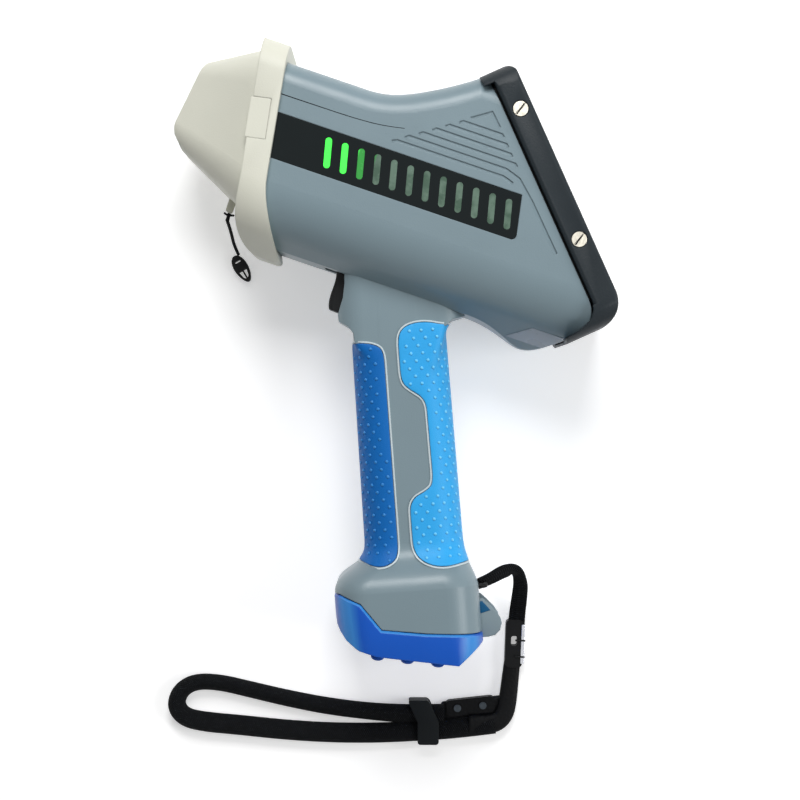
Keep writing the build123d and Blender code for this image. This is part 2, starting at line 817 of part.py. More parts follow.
def make_display():
    """Glass, panel, its board and the power button."""
    middle = (glass_upper + glass_lower) / 2
    glass_back = frame_front - glass_recess - glass_thickness
    panel_back = glass_back - 3.2
    with BuildPart() as glass:
        with BuildSketch(screen_plane(middle, glass_back)):
            RectangleRounded(glass_lower - glass_upper - 2 * fit, 2 * (glass_half_width - fit), 3.9)
        extrude(amount=glass_thickness)
    write(glass.part, "display_glass")
    inner = glass_ledge + fit
    for name, back, thickness in (("display_panel", panel_back, 3.2), ("display_board", panel_back - 1.6, 1.6)):
        with BuildPart() as layer:
            with BuildSketch(screen_plane(middle, back)):
                RectangleRounded(glass_lower - glass_upper - 2 * inner, 2 * (glass_half_width - inner), 2.8)
            extrude(amount=thickness)
        write(layer.part, name)
    with BuildPart() as button:
        with BuildSketch(screen_plane(button_down, frame_back + 3.5 + button_travel + 0.4)):
            Circle(button_radius)
        extrude(amount=frame_front - frame_back - 3.5 - button_travel - 0.4 + button_proud)
        top = button.faces().sort_by(Axis((0, 0, 0), (tilt_cos, tilt_sin, 0)))[-1]
        fillet(top.edges(), 0.5)
    write(button.part, "power_button")


def make_frame_screws():
    """Four slotted cheese-head screws, two in each flank of the frame."""
    number = 0
    for side in (1, -1):
        for place in frame_screw_places():
            number += 1
            with BuildPart() as screw:
                with BuildSketch(Plane.XY.offset(side * (rim_half_width - screw_head_depth))):
                    with Locations(place):
                        Circle(screw_head_radius)
                extrude(amount=side * (screw_head_depth - 0.1))
                with BuildSketch(Plane.XY.offset(side * (rim_half_width - screw_length))):
                    with Locations(place):
                        Circle(screw_shank_radius)
                extrude(amount=side * (screw_length - screw_head_depth))
                with BuildSketch(Plane.XY.offset(side * (rim_half_width - 0.9))):
                    with Locations(Location(place, screw_slot_angle)):
                        Rectangle(3 * screw_head_radius, screw_slot)
                extrude(amount=side * 2, mode=Mode.SUBTRACT)
            write(screw.part, f"frame_screw_{number}")


def make_housing_screws():
    """Countersunk screws that join the halves, let into the right flank."""
    with BuildPart() as screws:
        for place in screw_places():
            with BuildSketch(Plane.XY.offset(0.6 - screw_flank(place))):
                with Locations(place):
                    Circle(2.7)
            extrude(amount=3.4)
            with BuildSketch(Plane.XY.offset(0.6 - screw_flank(place))):
                with Locations(place):
                    Rectangle(3.2, 0.8)
            extrude(amount=1.0, mode=Mode.SUBTRACT)
            with BuildSketch(Plane.XY.offset(4 - screw_flank(place))):
                with Locations(place):
                    Circle(1.55)
            extrude(amount=26)
    write(screws.part, "housing_screws")


# Inside ------------------------------------------------------------------------------------
def make_inside():
    """The source block across the barrel, with tube, detector, supply and boards carried on it."""
    with BuildPart() as block:
        with BuildSketch(Plane.YZ.offset(block_front)):
            with Locations((-12, 0)):
                Rectangle(56, 2 * body_half_width)
        extrude(amount=block_depth)
        add(barrel(wall + fit), mode=Mode.INTERSECT)
        with BuildSketch(Plane.YZ.offset(block_front - 1)):
            with Locations((-22, 0)):
                Circle(tube_radius + fit)
            with Locations((2, 0)):
                Circle(detector_radius + fit)
        extrude(amount=block_depth + 2, mode=Mode.SUBTRACT)
    write(block.part, "source_block")
    with BuildPart() as tube:
        with BuildSketch(Plane.YZ.offset(24)):
            with Locations((-22, 0)):
                Circle(tube_radius)
        extrude(amount=block_front + block_depth - 24)
    write(tube.part, "xray_tube")
    with BuildPart() as detector:
        with BuildSketch(Plane.YZ.offset(12)):
            with Locations((2, 0)):
                Circle(detector_radius)
        extrude(amount=block_front + block_depth - 12)
    write(detector.part, "detector")
    with BuildPart() as supply:
        with BuildSketch(Plane.YZ.offset(block_front + block_depth)):
            with Locations((-12, 0)):
                RectangleRounded(44, 44, 3)
        extrude(amount=48)
    write(supply.part, "high_voltage_supply")
    with BuildPart() as board:
        with BuildSketch(Plane.XZ.offset(-10.0)):
            with Locations((block_front + block_depth + 34, 0)):
                Rectangle(66, 60)
        extrude(amount=-1.6)
    write(board.part, "main_board")


def make_switch():
    """The micro switch behind the trigger, on a bracket across the neck."""
    with BuildPart() as switch:
        with BuildSketch(Plane.XY.offset(-grip_half_width + wall + fit)):
            with Locations((115.5, -68.0)):
                Rectangle(5.0, 12.0)
        extrude(amount=2 * (grip_half_width - wall - fit))
        add(neck(wall + fit), mode=Mode.INTERSECT)
    write(switch.part, "trigger_switch")


# Battery -----------------------------------------------------------------------------------
def base_rim_edges(solid, low):
    """The base's upper rim, or where low is set its lower one, without the seams between facets."""
    picked = []
    for edge in solid.edges():
        middle = edge.center()
        along = (middle.X - 126) * lean_sin - (middle.Y + 56) * lean_cos
        across = (middle.X - 126) * lean_cos + (middle.Y + 56) * lean_sin
        is_lower = along > 171.5 + 0.15 * across
        is_seam = abs(middle.Z) < 0.1 and not (low and across > 30.3 and along > 176.9)
        heading = edge.tangent_at(0)
        is_upright = edge.geom_type == GeomType.LINE and abs(heading.X * lean_sin - heading.Y * lean_cos) > 0.97
        if is_lower == low and not is_seam and not is_upright:
            picked.append(edge)
    return picked


def make_battery():
    """The pack in the grip, the contact block above it and the blue base that closes the foot."""
    pack_top = well_top + 4
    plug_top = 161.0
    with BuildPart() as pack:
        with BuildSketch(grip_plane(pack_top)):
            RectangleRounded(well_rear - well_front - 2 * slide_gap, 2 * (well_half_width - slide_gap), 5)
        extrude(amount=plug_top - pack_top)
    write(pack.part, "battery_pack")
    with BuildPart() as contacts:
        with BuildSketch(grip_plane(well_top - 4)):
            Rectangle(26, 2 * grip_half_width)
        extrude(amount=6)
        add(grip(wall + fit), mode=Mode.INTERSECT)
        with BuildSketch(grip_plane(well_top + 2)):
            with Locations((-9, 0), (-3, 0), (3, 0), (9, 0)):
                Circle(1.2)
        extrude(amount=1.9)
    write(contacts.part, "battery_contacts")
    outline = [(148.8, -60), (148.8, -38), (153.8, -27.8), (166.8, -18.5), (170.1, 2.5), (172.6, 28),
               (172.6, 60), (176.5, 60), (176.5, 31.0), (186.8, 17.3), (179.5, -21.6), (175.8, -31.0),
               (171.9, -35.6), (165.5, -40.3), (164.0, -60)]
    with BuildPart() as base:
        with BuildSketch(grip_plane(shoulder_end - 5)):
            foot_section(foot_front, foot_rear, foot_half_width, foot_corner, -0.4)
        extrude(amount=60)
        add(side_prism([grip_point(*point) for point in outline], 60), mode=Mode.INTERSECT)
        chamfer(base_rim_edges(base.part, False), base_bevel)
        with BuildSketch(grip_plane(plug_top)):
            foot_section(foot_front, foot_rear, foot_half_width, foot_corner, wall + slide_gap)
        extrude(amount=14)
        ears = [(164.5, 31.0), (164.5, 36.0), (172.0, 37.2), (176.0, 35.0), (176.0, 28.0), (173.2, 28.0),
                (173.2, 31.0)]
        for z in (latch_half_width + 0.3, -latch_half_width - 0.3 - ear_thickness):
            with BuildSketch(Plane.XY.offset(z)):
                with BuildLine():
                    Polyline(*[grip_point(*point) for point in ears], close=True)
                make_face()
            extrude(amount=ear_thickness)
        with BuildSketch(Plane.XY.offset(-20)):
            with Locations(grip_point(*latch_pin)):
                Circle(latch_pin_radius + 0.05)
        extrude(amount=40, mode=Mode.SUBTRACT)
    write(base.part, "battery_base")
    sole_normal = (grip_point(186.8, 17.3)[0] - grip_point(179.5, -21.6)[0],
                   grip_point(186.8, 17.3)[1] - grip_point(179.5, -21.6)[1])
    length = sqrt(sole_normal[0] ** 2 + sole_normal[1] ** 2)
    along = (sole_normal[0] / length, sole_normal[1] / length)
    middle = grip_point((186.8 + 179.5) / 2, (17.3 - 21.6) / 2)
    sole = Plane(origin=(middle[0], middle[1], 0), x_dir=(along[0], along[1], 0), z_dir=(along[1], -along[0], 0))
    with BuildPart() as pads:
        with BuildSketch(sole):
            with GridLocations(15.5, 34, 3, 2):
                Circle(3.0)
        extrude(amount=1.6)
        fillet(pads.faces().group_by(Axis((0, 0, 0), (along[1], -along[0], 0)))[-1].edges(), 0.9)
    write(pads.part, "foot_pads")
    tab = [(164.2, 31.4), (164.2, 36.3), (169.3, 39.5), (173.7, 39.6), (176.4, 36.6), (176.2, 33.8),
           (170.4, 33.4), (169.4, 31.4)]
    with BuildPart() as latch:
        with BuildSketch(Plane.XY.offset(-latch_half_width)):
            with BuildLine():
                Polyline(*[grip_point(*point) for point in tab], close=True)
            make_face()
        extrude(amount=2 * latch_half_width)
        with BuildSketch(Plane.XY.offset(-20)):
            with Locations(grip_point(*latch_pin)):
                Circle(latch_pin_radius + 0.05)
        extrude(amount=40, mode=Mode.SUBTRACT)
    write(latch.part, "battery_latch")
    with BuildPart() as pin:
        with BuildSketch(Plane.XY.offset(-latch_half_width - ear_thickness)):
            with Locations(grip_point(*latch_pin)):
                Circle(latch_pin_radius)
        extrude(amount=2 * (latch_half_width + ear_thickness))
    write(pin.part, "latch_pin")


# Strap -------------------------------------------------------------------------------------
def route_length(path):
    """The length of a cord's centre line."""
    return sum(edge.length for edge in path.edges())


def cord_tube(points, radius, label):
    """A plain tube along straight runs joined by arcs as large as the runs allow."""
    runs = [(Vector(*b) - Vector(*a)) for a, b in zip(points, points[1:])]
    radii = []
    for before, after in zip(runs, runs[1:]):
        turn = before.get_angle(after)
        radii.append(0.45 * min(before.length, after.length) / tan(radians(turn / 2)))
    with BuildPart() as tube:
        with BuildLine() as path:
            FilletPolyline(*points, radius=radii)
        with BuildSketch(Plane(origin=points[0], z_dir=path.line % 0)):
            Circle(radius)
        sweep()
    print(label, "radii", [round(r, 1) for r in radii], "length", round(route_length(path), 1),
          "volume ratio", round(tube.part.volume / (route_length(path) * pi * radius ** 2), 4))
    return tube.part


webbing_upper_route = [(218.0, -179.6, -3.0), (224.0, -173.6, -8.5), (230.6, -171.4, -16.0),
                       (235.6, -177.0, -24.0), (238.4, -186.6, -32.0), (240.6, -196.6, -37.2)]
webbing_lower_route = [(246.9, -223.4, -38.6), (248.0, -229.9, -39.0), (249.75, -237.5, -39.1)]
loop_route = [(247.8, -252.9, -37.2), (230.6, -261.3, -37.2), (212.6, -268.8, -37.2), (192.0, -277.0, -37.2),
              (168.0, -285.0, -37.2), (143.5, -291.6, -37.2), (122.0, -296.4, -37.2), (105.0, -300.6, -37.2),
              (93.6, -302.0, -37.2), (87.0, -297.6, -37.2), (86.8, -289.4, -37.2), (92.6, -282.4, -37.2),
              (105.0, -278.6, -37.2), (122.0, -276.6, -37.2), (141.0, -274.0, -37.2), (163.0, -270.0, -37.2),
              (186.0, -264.4, -37.2), (206.0, -258.8, -37.2), (220.3, -254.2, -37.2)]
tether_route = [(36.4, -51.9, 5.0), (37.2, -54.0, -6.0), (38.6, -57.6, -18.0), (39.6, -60.8, -29.0),
                (42.0, -64.0, -38.6)]


def turned_block(centre, angle, length, width, height, corner):
    """A rounded block lying on the table level, turned about Z."""
    with BuildPart() as block:
        with BuildSketch(Plane.XY.offset(-rim_half_width)):
            with Locations(Location(centre, angle)):
                RectangleRounded(length, width, corner)
        extrude(amount=height)
    return block.part


def make_strap():
    """Anchor, webbing, clip, wrist loop with its keeper, sewn joint and riveted tab."""
    write(cord_tube(webbing_upper_route, webbing_radius, "upper webbing"), "strap_webbing_upper")
    write(cord_tube(webbing_lower_route, webbing_radius, "lower webbing"), "strap_webbing_lower")
    write(cord_tube(loop_route, loop_radius, "wrist loop"), "wrist_loop")
    with BuildPart() as clip:
        add(turned_block((243.8, -210.0), -73.4, 25.0, 9.0, 6.5, 2.5))
        with BuildSketch(Plane.XY.offset(-rim_half_width - 1)):
            with Locations(Location((243.4, -208.6), -73.4)):
                RectangleRounded(5.0, 3.2, 1.0)
        extrude(amount=10, mode=Mode.SUBTRACT)
    write(clip.part, "strap_clip")
    with BuildPart() as keeper:
        add(turned_block((213.3, -263.1), 18.6, 11.0, 23.0, 10.6, 1.6))
        add(cord_tube(loop_route, loop_radius + 0.12, "keeper channel"), mode=Mode.SUBTRACT)
    write(keeper.part, "strap_keeper")
    write(turned_block((251.0, -247.6), -70.0, 19.0, 8.6, 7.0, 2.4), "strap_joint")
    write(turned_block((233.0, -248.6), 25.0, 25.4, 8.6, 5.0, 2.0), "strap_tab")
    with BuildPart() as rivets:
        with BuildSketch(Plane.XY.offset(-rim_half_width + 5.0)):
            with Locations((226.8, -251.5), (238.9, -245.9)):
                Circle(1.9)
        extrude(amount=0.9)
    write(rivets.part, "tab_rivets")
    with BuildPart() as anchor:
        with BuildLine():
            inner = grip_point(anchor_along, foot_rear - wall + 0.8)
            outer = grip_point(anchor_along, foot_rear + 4.0)
            half = anchor_half_width
            FilletPolyline((*inner, half), (*outer, half), (*outer, -half), (*inner, -half), radius=2.5)
        with BuildSketch(Plane(origin=(*inner, half), z_dir=(lean_cos, lean_sin, 0))):
            Circle(anchor_radius)
        sweep()
    write(anchor.part, "strap_anchor")


def make_tether():
    """The thin cord under the nose, with its lug and small buckle."""
    with BuildPart() as lug:
        with BuildSketch(Plane.XY.offset(2.0)):
            with Locations((36.0, -46.0 - lug_drop)):
                RectangleRounded(3.2, 9.6, 1.2)
        extrude(amount=5.0)
        add(nose_form(-0.05, joint_depth), mode=Mode.SUBTRACT)
    write(lug.part, "tether_lug")
    route = [(x, y - lug_drop, z) for x, y, z in tether_route]
    write(cord_tube(route, tether_radius, "tether"), "tether_cord")
    with BuildPart() as clip:
        add(turned_block((47.6, -70.8 - lug_drop), -49.0, 15.4, 8.6, 5.0, 1.8))
        for shift in (-1.7, 1.7):
            with BuildSketch(Plane.XY.offset(-rim_half_width - 1)):
                with Locations(Location((47.6 + shift * 0.75, -70.8 - lug_drop + shift * 0.66), -49.0)):
                    RectangleRounded(6.0, 1.8, 0.6)
            extrude(amount=8, mode=Mode.SUBTRACT)
    write(clip.part, "tether_clip")


make_housings()
make_trigger()
make_switch()
make_pads()
make_nose()
make_flange()
make_side_window(1, "left")
make_side_window(-1, "right")
make_frame()
make_display()
make_frame_screws()
make_housing_screws()
make_inside()
make_battery()
make_strap()
make_tether()
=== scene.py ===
"""Handheld XRF analyzer: finishes, soft strap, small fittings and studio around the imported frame."""

import logging
import math
from dataclasses import dataclass, field
from enum import Enum

import bmesh
import bpy
from mathutils import Matrix, Vector
from mathutils.bvhtree import BVHTree

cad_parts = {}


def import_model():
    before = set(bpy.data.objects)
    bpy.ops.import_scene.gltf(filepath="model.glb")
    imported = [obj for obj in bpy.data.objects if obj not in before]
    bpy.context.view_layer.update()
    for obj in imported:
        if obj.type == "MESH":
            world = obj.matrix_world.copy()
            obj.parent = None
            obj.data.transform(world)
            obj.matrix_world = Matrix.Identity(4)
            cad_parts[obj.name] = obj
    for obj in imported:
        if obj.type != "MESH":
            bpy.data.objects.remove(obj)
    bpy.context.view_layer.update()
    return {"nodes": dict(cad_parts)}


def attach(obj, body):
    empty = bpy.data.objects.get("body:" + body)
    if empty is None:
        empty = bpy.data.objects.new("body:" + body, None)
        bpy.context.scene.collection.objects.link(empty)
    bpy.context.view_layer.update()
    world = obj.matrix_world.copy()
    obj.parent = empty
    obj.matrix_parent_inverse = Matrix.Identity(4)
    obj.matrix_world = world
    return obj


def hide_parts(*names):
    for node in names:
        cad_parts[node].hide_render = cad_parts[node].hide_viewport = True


log = logging.getLogger("analyzer")

Colour = tuple[float, float, float]
Value = bpy.types.NodeSocket | float
Shade = bpy.types.NodeSocket | Colour
TABLE_HEIGHT = -0.0422
LEAN = math.radians(23.0)
LIE = math.radians(18.8)
GRIP_TOP = Vector((0.126, -0.056, 0.0))
GRIP_DOWN = Vector((math.sin(LEAN), -math.cos(LEAN), 0.0))
GRIP_BACK = Vector((math.cos(LEAN), math.sin(LEAN), 0.0))
FRAME_SLOPE = (0.732, 0.6813)
UP = Vector((0.0, 0.0, 1.0))


def paint(red: int, green: int, blue: int) -> Colour:
    """Turns a display colour into the linear colour that shaders take.

    Args:
        red: Its red, of 0 to 255.
        green: Its green.
        blue: Its blue.

    Returns:
        The linear colour.
    """
    parts = [value / 255 for value in (red, green, blue)]
    linear = [p / 12.92 if p <= 0.04045 else ((p + 0.055) / 1.055) ** 2.4 for p in parts]
    return linear[0], linear[1], linear[2]


def tint(colour: Colour, gain: float) -> Colour:
    """Returns the colour made lighter or darker by a gain."""
    return tuple(min(1.0, part * gain) for part in colour)


class ShaderTree:
    """Adds and joins nodes in one shader tree."""

    def __init__(self, tree: bpy.types.NodeTree) -> None:
        """Keeps the tree that the nodes go into."""
        self.tree = tree

    def node(self, kind: str, settings: dict | None = None, **sockets: Value | Shade) -> bpy.types.Node:
        """Adds a node.

        Args:
            kind: The node's type, without the word ShaderNode.
            settings: The node's own options.
            **sockets: What feed takes.

        Returns:
            The new node.
        """
        made = self.tree.nodes.new(kind if kind.startswith("Node") else "ShaderNode" + kind)
        for name, value in (settings or {}).items():
            setattr(made, name, value)
        self.feed(made, **sockets)
        return made

    def feed(self, node: bpy.types.Node, **sockets: Value | Shade) -> None:
        """Joins sources to a node's inputs, or sets them.

        Args:
            node: The node.
            **sockets: Sources or values by input name, with _ for a space; a bare number is _0.
        """
        for name, value in sockets.items():
            target = node.inputs[int(name[1:]) if name[1:].isdigit() else name.replace("_", " ")]
            if isinstance(value, bpy.types.NodeSocket):
                self.tree.links.new(value, target)
            elif isinstance(value, tuple) and len(target.default_value) == 4:
                target.default_value = (*value, 1.0)
            else:
                target.default_value = value

    def math(self, operation: str, first: Value, second: Value = 0.0) -> bpy.types.NodeSocket:
        """Returns the result of a Math node on two values."""
        return self.node("Math", {"operation": operation}, _0=first, _1=second).outputs[0]

    def ranged(self, value: Value, low: float, high: float, to_low: float = 0.0,
               to_high: float = 1.0) -> bpy.types.NodeSocket:
        """Returns a value carried from one range to another and held inside it."""
        return self.node("MapRange", None, _0=value, _1=low, _2=high, _3=to_low, _4=to_high).outputs[0]

    def mix(self, factor: Value, first: Shade, second: Shade) -> bpy.types.NodeSocket:
        """Returns two colours mixed by a factor."""
        return self.node("Mix", {"data_type": "RGBA"}, _0=factor, _6=first, _7=second).outputs[2]

    def place(self) -> bpy.types.NodeSocket:
        """Returns the point on the piece, in metres."""
        return self.node("TexCoord").outputs["Object"]

    def noise(self, scale: Value, detail: float = 3.0,
              source: bpy.types.NodeSocket | None = None) -> bpy.types.NodeSocket:
        """Returns a noise value; scale counts its lumps to the metre."""
        made = self.node("TexNoise", None, Vector=source or self.place(), Scale=scale, Detail=detail)
        return made.outputs[0]


def new_group(name: str, inputs: dict[str, str], outputs: dict[str, str]) -> tuple[
        bpy.types.NodeTree, ShaderTree, bpy.types.Node, bpy.types.Node]:
    """Starts a shader node group.

    Args:
        name: The group's name.
        inputs: Socket types by input name.
        outputs: Socket types by output name.

    Returns:
        The group, its tree helper, its input node and its output node.
    """
    group = bpy.data.node_groups.new(name, "ShaderNodeTree")
    for in_out, sockets in (("INPUT", inputs), ("OUTPUT", outputs)):
        for label, kind in sockets.items():
            group.interface.new_socket(label, in_out=in_out, socket_type="NodeSocket" + kind)
    tree = ShaderTree(group)
    return group, tree, tree.node("NodeGroupInput"), tree.node("NodeGroupOutput")


class Groups:
    """The effects that several finishes share, each built once."""

    def __init__(self) -> None:
        """Builds every group."""
        self.moulded = self.build_moulded()
        self.lit_edges = self.build_lit_edges()
        self.cloth = self.build_cloth()

    @staticmethod
    def build_moulded() -> bpy.types.NodeTree:
        """Returns the spark-eroded grain of a moulding, with its faint mottle and dust."""
        group, tree, given, result = new_group(
            "moulded grain",
            {"Colour": "Color", "Mottle": "Float", "Scale": "Float", "Roughness": "Float"},
            {"Colour": "Color", "Roughness": "Float", "Height": "Float"})
        point = tree.place()
        cloud = tree.noise(26.0, 4.0, point)
        grain = tree.noise(given.outputs["Scale"], 2.0, point)
        smear = tree.noise(90.0, 5.0, point)
        dark = tree.node("HueSaturation", None, Value=0.82, Color=given.outputs["Colour"]).outputs[0]
        light = tree.node("HueSaturation", None, Value=1.12, Color=given.outputs["Colour"]).outputs[0]
        spread = tree.math("MULTIPLY", tree.math("SUBTRACT", cloud, 0.5), given.outputs["Mottle"])
        colour = tree.mix(tree.math("ADD", spread, 0.55), dark, light)
        rough = tree.math("MULTIPLY", tree.math("SUBTRACT", smear, 0.5), 0.22)
        tree.feed(result, Colour=colour, Height=grain,
                  Roughness=tree.math("ADD", rough, given.outputs["Roughness"]))
        return group

    @staticmethod
    def build_lit_edges() -> bpy.types.NodeTree:
        """Returns softened edges with a painted highlight: paler along the edges, in patches."""
        group, tree, given, result = new_group(
            "painted edge highlight",
            {"Colour": "Color", "Radius": "Float", "Wear": "Float"},
            {"Colour": "Color", "Normal": "Vector"})
        soft = tree.node("Bevel", {"samples": 4}, Radius=given.outputs["Radius"]).outputs[0]
        flat = tree.node("NewGeometry").outputs["Normal"]
        turned = tree.node("VectorMath", {"operation": "DOT_PRODUCT"}, _0=soft, _1=flat).outputs["Value"]
        # painted highlight: the colour turns paler where the softened normal leaves the flat one, along every
        # edge, in noisy patches
        edge = tree.ranged(turned, 0.995, 0.9)
        patchy = tree.math("MULTIPLY", edge, tree.ranged(tree.noise(260.0, 4.0), 0.4, 0.68))
        given_colour = given.outputs["Colour"]
        pale = tree.node("HueSaturation", None, Value=1.9, Saturation=0.8, Color=given_colour).outputs[0]
        highlighted = tree.mix(tree.math("MULTIPLY", patchy, given.outputs["Wear"]), given_colour, pale)
        tree.feed(result, Colour=highlighted, Normal=soft)
        return group

    @staticmethod
    def build_cloth() -> bpy.types.NodeTree:
        """Returns a plain weave that follows a strap's own length and width, in threads."""
        group, tree, given, result = new_group(
            "weave",
            {"Colour": "Color", "Thread": "Color", "Along": "Float", "Around": "Float"},
            {"Colour": "Color", "Roughness": "Float", "Height": "Float"})
        split = tree.node("SeparateXYZ", None, Vector=tree.node("TexCoord").outputs["UV"])
        along = tree.math("MULTIPLY", split.outputs[0], given.outputs["Along"])
        around = tree.math("MULTIPLY", split.outputs[1], given.outputs["Around"])
        warp = tree.math("ABSOLUTE", tree.math("SINE", tree.math("ADD", along, around)))
        weft = tree.math("ABSOLUTE", tree.math("SINE", tree.math("SUBTRACT", along, around)))
        height = tree.math("MULTIPLY", warp, weft)
        fuzz = tree.noise(1500.0, 5.0)
        lint = tree.ranged(fuzz, 0.52, 0.72)
        pick = tree.math("MULTIPLY", tree.ranged(height, 0.2, 0.9), tree.math("ADD", lint, 0.25))
        tree.feed(result, Colour=tree.mix(pick, given.outputs["Colour"], given.outputs["Thread"]),
                  Roughness=tree.ranged(fuzz, 0.3, 0.7, 0.72, 0.95),
                  Height=tree.math("ADD", height, tree.math("MULTIPLY", fuzz, 0.5)))
        return group


def new_material(name: str) -> tuple[bpy.types.Material, ShaderTree, bpy.types.Node]:
    """Starts a material.

    Args:
        name: The material's name.

    Returns:
        The material, its tree helper and its Principled shader.
    """
    material = bpy.data.materials.new(name)
    material.use_nodes = True
    tree = ShaderTree(material.node_tree)
    return material, tree, material.node_tree.nodes["Principled BSDF"]


@dataclass(frozen=True)
class Moulding:
    """A moulded plastic or rubber with a fine grain and softened edges that carry a painted highlight.

    Attributes:
        name: Its name.
        colour: Its colour.
        roughness: How matt it is.
        scale: Grains to the metre.
        depth: The grain's depth, in metres.
        mottle: How far its colour wanders.
        radius: How far its edges are softened, in metres.
        wear: How strongly its edges are painted pale, as a highlight in patches.
        coat: How much gloss lies over it.
        coat_roughness: How matt that gloss is.
        specular: How strongly it mirrors.
        slope_highlight: The paler colour painted on its sloping faces as a highlight, where it has one.
    """

    name: str
    colour: Colour
    roughness: float = 0.42
    scale: float = 1500.0
    depth: float = 0.00006
    mottle: float = 0.5
    radius: float = 0.0006
    wear: float = 0.25
    coat: float = 0.0
    coat_roughness: float = 0.2
    specular: float = 0.5
    slope_highlight: Colour | None = None

    def build(self, groups: Groups) -> bpy.types.Material:
        """Returns the material."""
        material, tree, shader = new_material(self.name)
        colour = self.colour
        # painted highlight: faces that slope between level and upright are mixed towards a paler colour
        if self.slope_highlight:
            height = tree.node("SeparateXYZ", None, Vector=tree.node("TexCoord").outputs["Normal"]).outputs[2]
            tilt = tree.math("ABSOLUTE", height)
            sloping = tree.math("MULTIPLY", tree.ranged(tilt, 0.35, 0.65), tree.ranged(tilt, 0.97, 0.85))
            colour = tree.mix(tree.math("MULTIPLY", sloping, 0.75), self.colour, self.slope_highlight)
        # painted highlight: the edge group paints this moulding's edges paler
        lit_edges = tree.node("Group", {"node_tree": groups.lit_edges}, Colour=colour, Radius=self.radius,
                           Wear=self.wear)
        grain = tree.node("Group", {"node_tree": groups.moulded}, Colour=lit_edges.outputs["Colour"],
                          Mottle=self.mottle, Scale=self.scale, Roughness=self.roughness)
        bump = tree.node("Bump", None, Height=grain.outputs["Height"], Distance=self.depth,
                         Normal=lit_edges.outputs["Normal"])
        tree.feed(shader, Base_Color=grain.outputs["Colour"], Roughness=grain.outputs["Roughness"],
                  Normal=bump.outputs[0], Coat_Weight=self.coat, Coat_Roughness=self.coat_roughness,
                  Specular_IOR_Level=self.specular)
        return material


@dataclass(frozen=True)
class Cloth:
    """Woven black cloth on a strap with its own length and width map.

    Attributes:
        name: Its name.
        colour: The ground's colour.
        thread: The picked-out threads' colour.
        along: Half turns of the weave down the strap's length.
        around: Half turns of the weave round it.
        depth: The weave's depth, in metres.
    """

    name: str
    colour: Colour
    thread: Colour
    along: float
    around: float
    depth: float = 0.00025

    def build(self, groups: Groups) -> bpy.types.Material:
        """Returns the material."""
        material, tree, shader = new_material(self.name)
        weave = tree.node("Group", {"node_tree": groups.cloth}, Colour=self.colour, Thread=self.thread,
                          Along=self.along, Around=self.around)
        bump = tree.node("Bump", None, Height=weave.outputs["Height"], Distance=self.depth)
        tree.feed(shader, Base_Color=weave.outputs["Colour"], Roughness=weave.outputs["Roughness"],
                  Normal=bump.outputs[0], Sheen_Weight=0.02, Sheen_Roughness=0.5, Specular_IOR_Level=0.08)
        return material


@dataclass(frozen=True)
class Metal:
    """Turned or drawn metal with fine scratches and a painted highlight on its edges.

    Attributes:
        name: Its name.
        colour: Its colour.
        roughness: How matt it is.
        stretch: Scratches to the metre along each axis.
    """

    name: str
    colour: Colour
    roughness: float = 0.3
    stretch: tuple[float, float, float] = (2400.0, 400.0, 400.0)

    def build(self, groups: Groups) -> bpy.types.Material:
        """Returns the material."""
        material, tree, shader = new_material(self.name)
        turned = tree.node("Mapping", None, Vector=tree.place(), Scale=self.stretch).outputs[0]
        lines = tree.noise(1.0, 4.0, turned)
        # painted highlight: the edge group paints the metal's edges paler
        lit_edges = tree.node("Group", {"node_tree": groups.lit_edges}, Colour=self.colour, Radius=0.0002, Wear=0.3)
        stain = tree.mix(tree.ranged(tree.noise(420.0, 4.0), 0.35, 0.8), lit_edges.outputs["Colour"],
                         tint(self.colour, 0.72))
        bump = tree.node("Bump", None, Height=lines, Distance=0.00003, Normal=lit_edges.outputs["Normal"])
        rough = tree.ranged(lines, 0.3, 0.7, self.roughness - 0.08, self.roughness + 0.12)
        tree.feed(shader, Base_Color=stain, Roughness=rough, Normal=bump.outputs[0], Metallic=1.0)
        return material


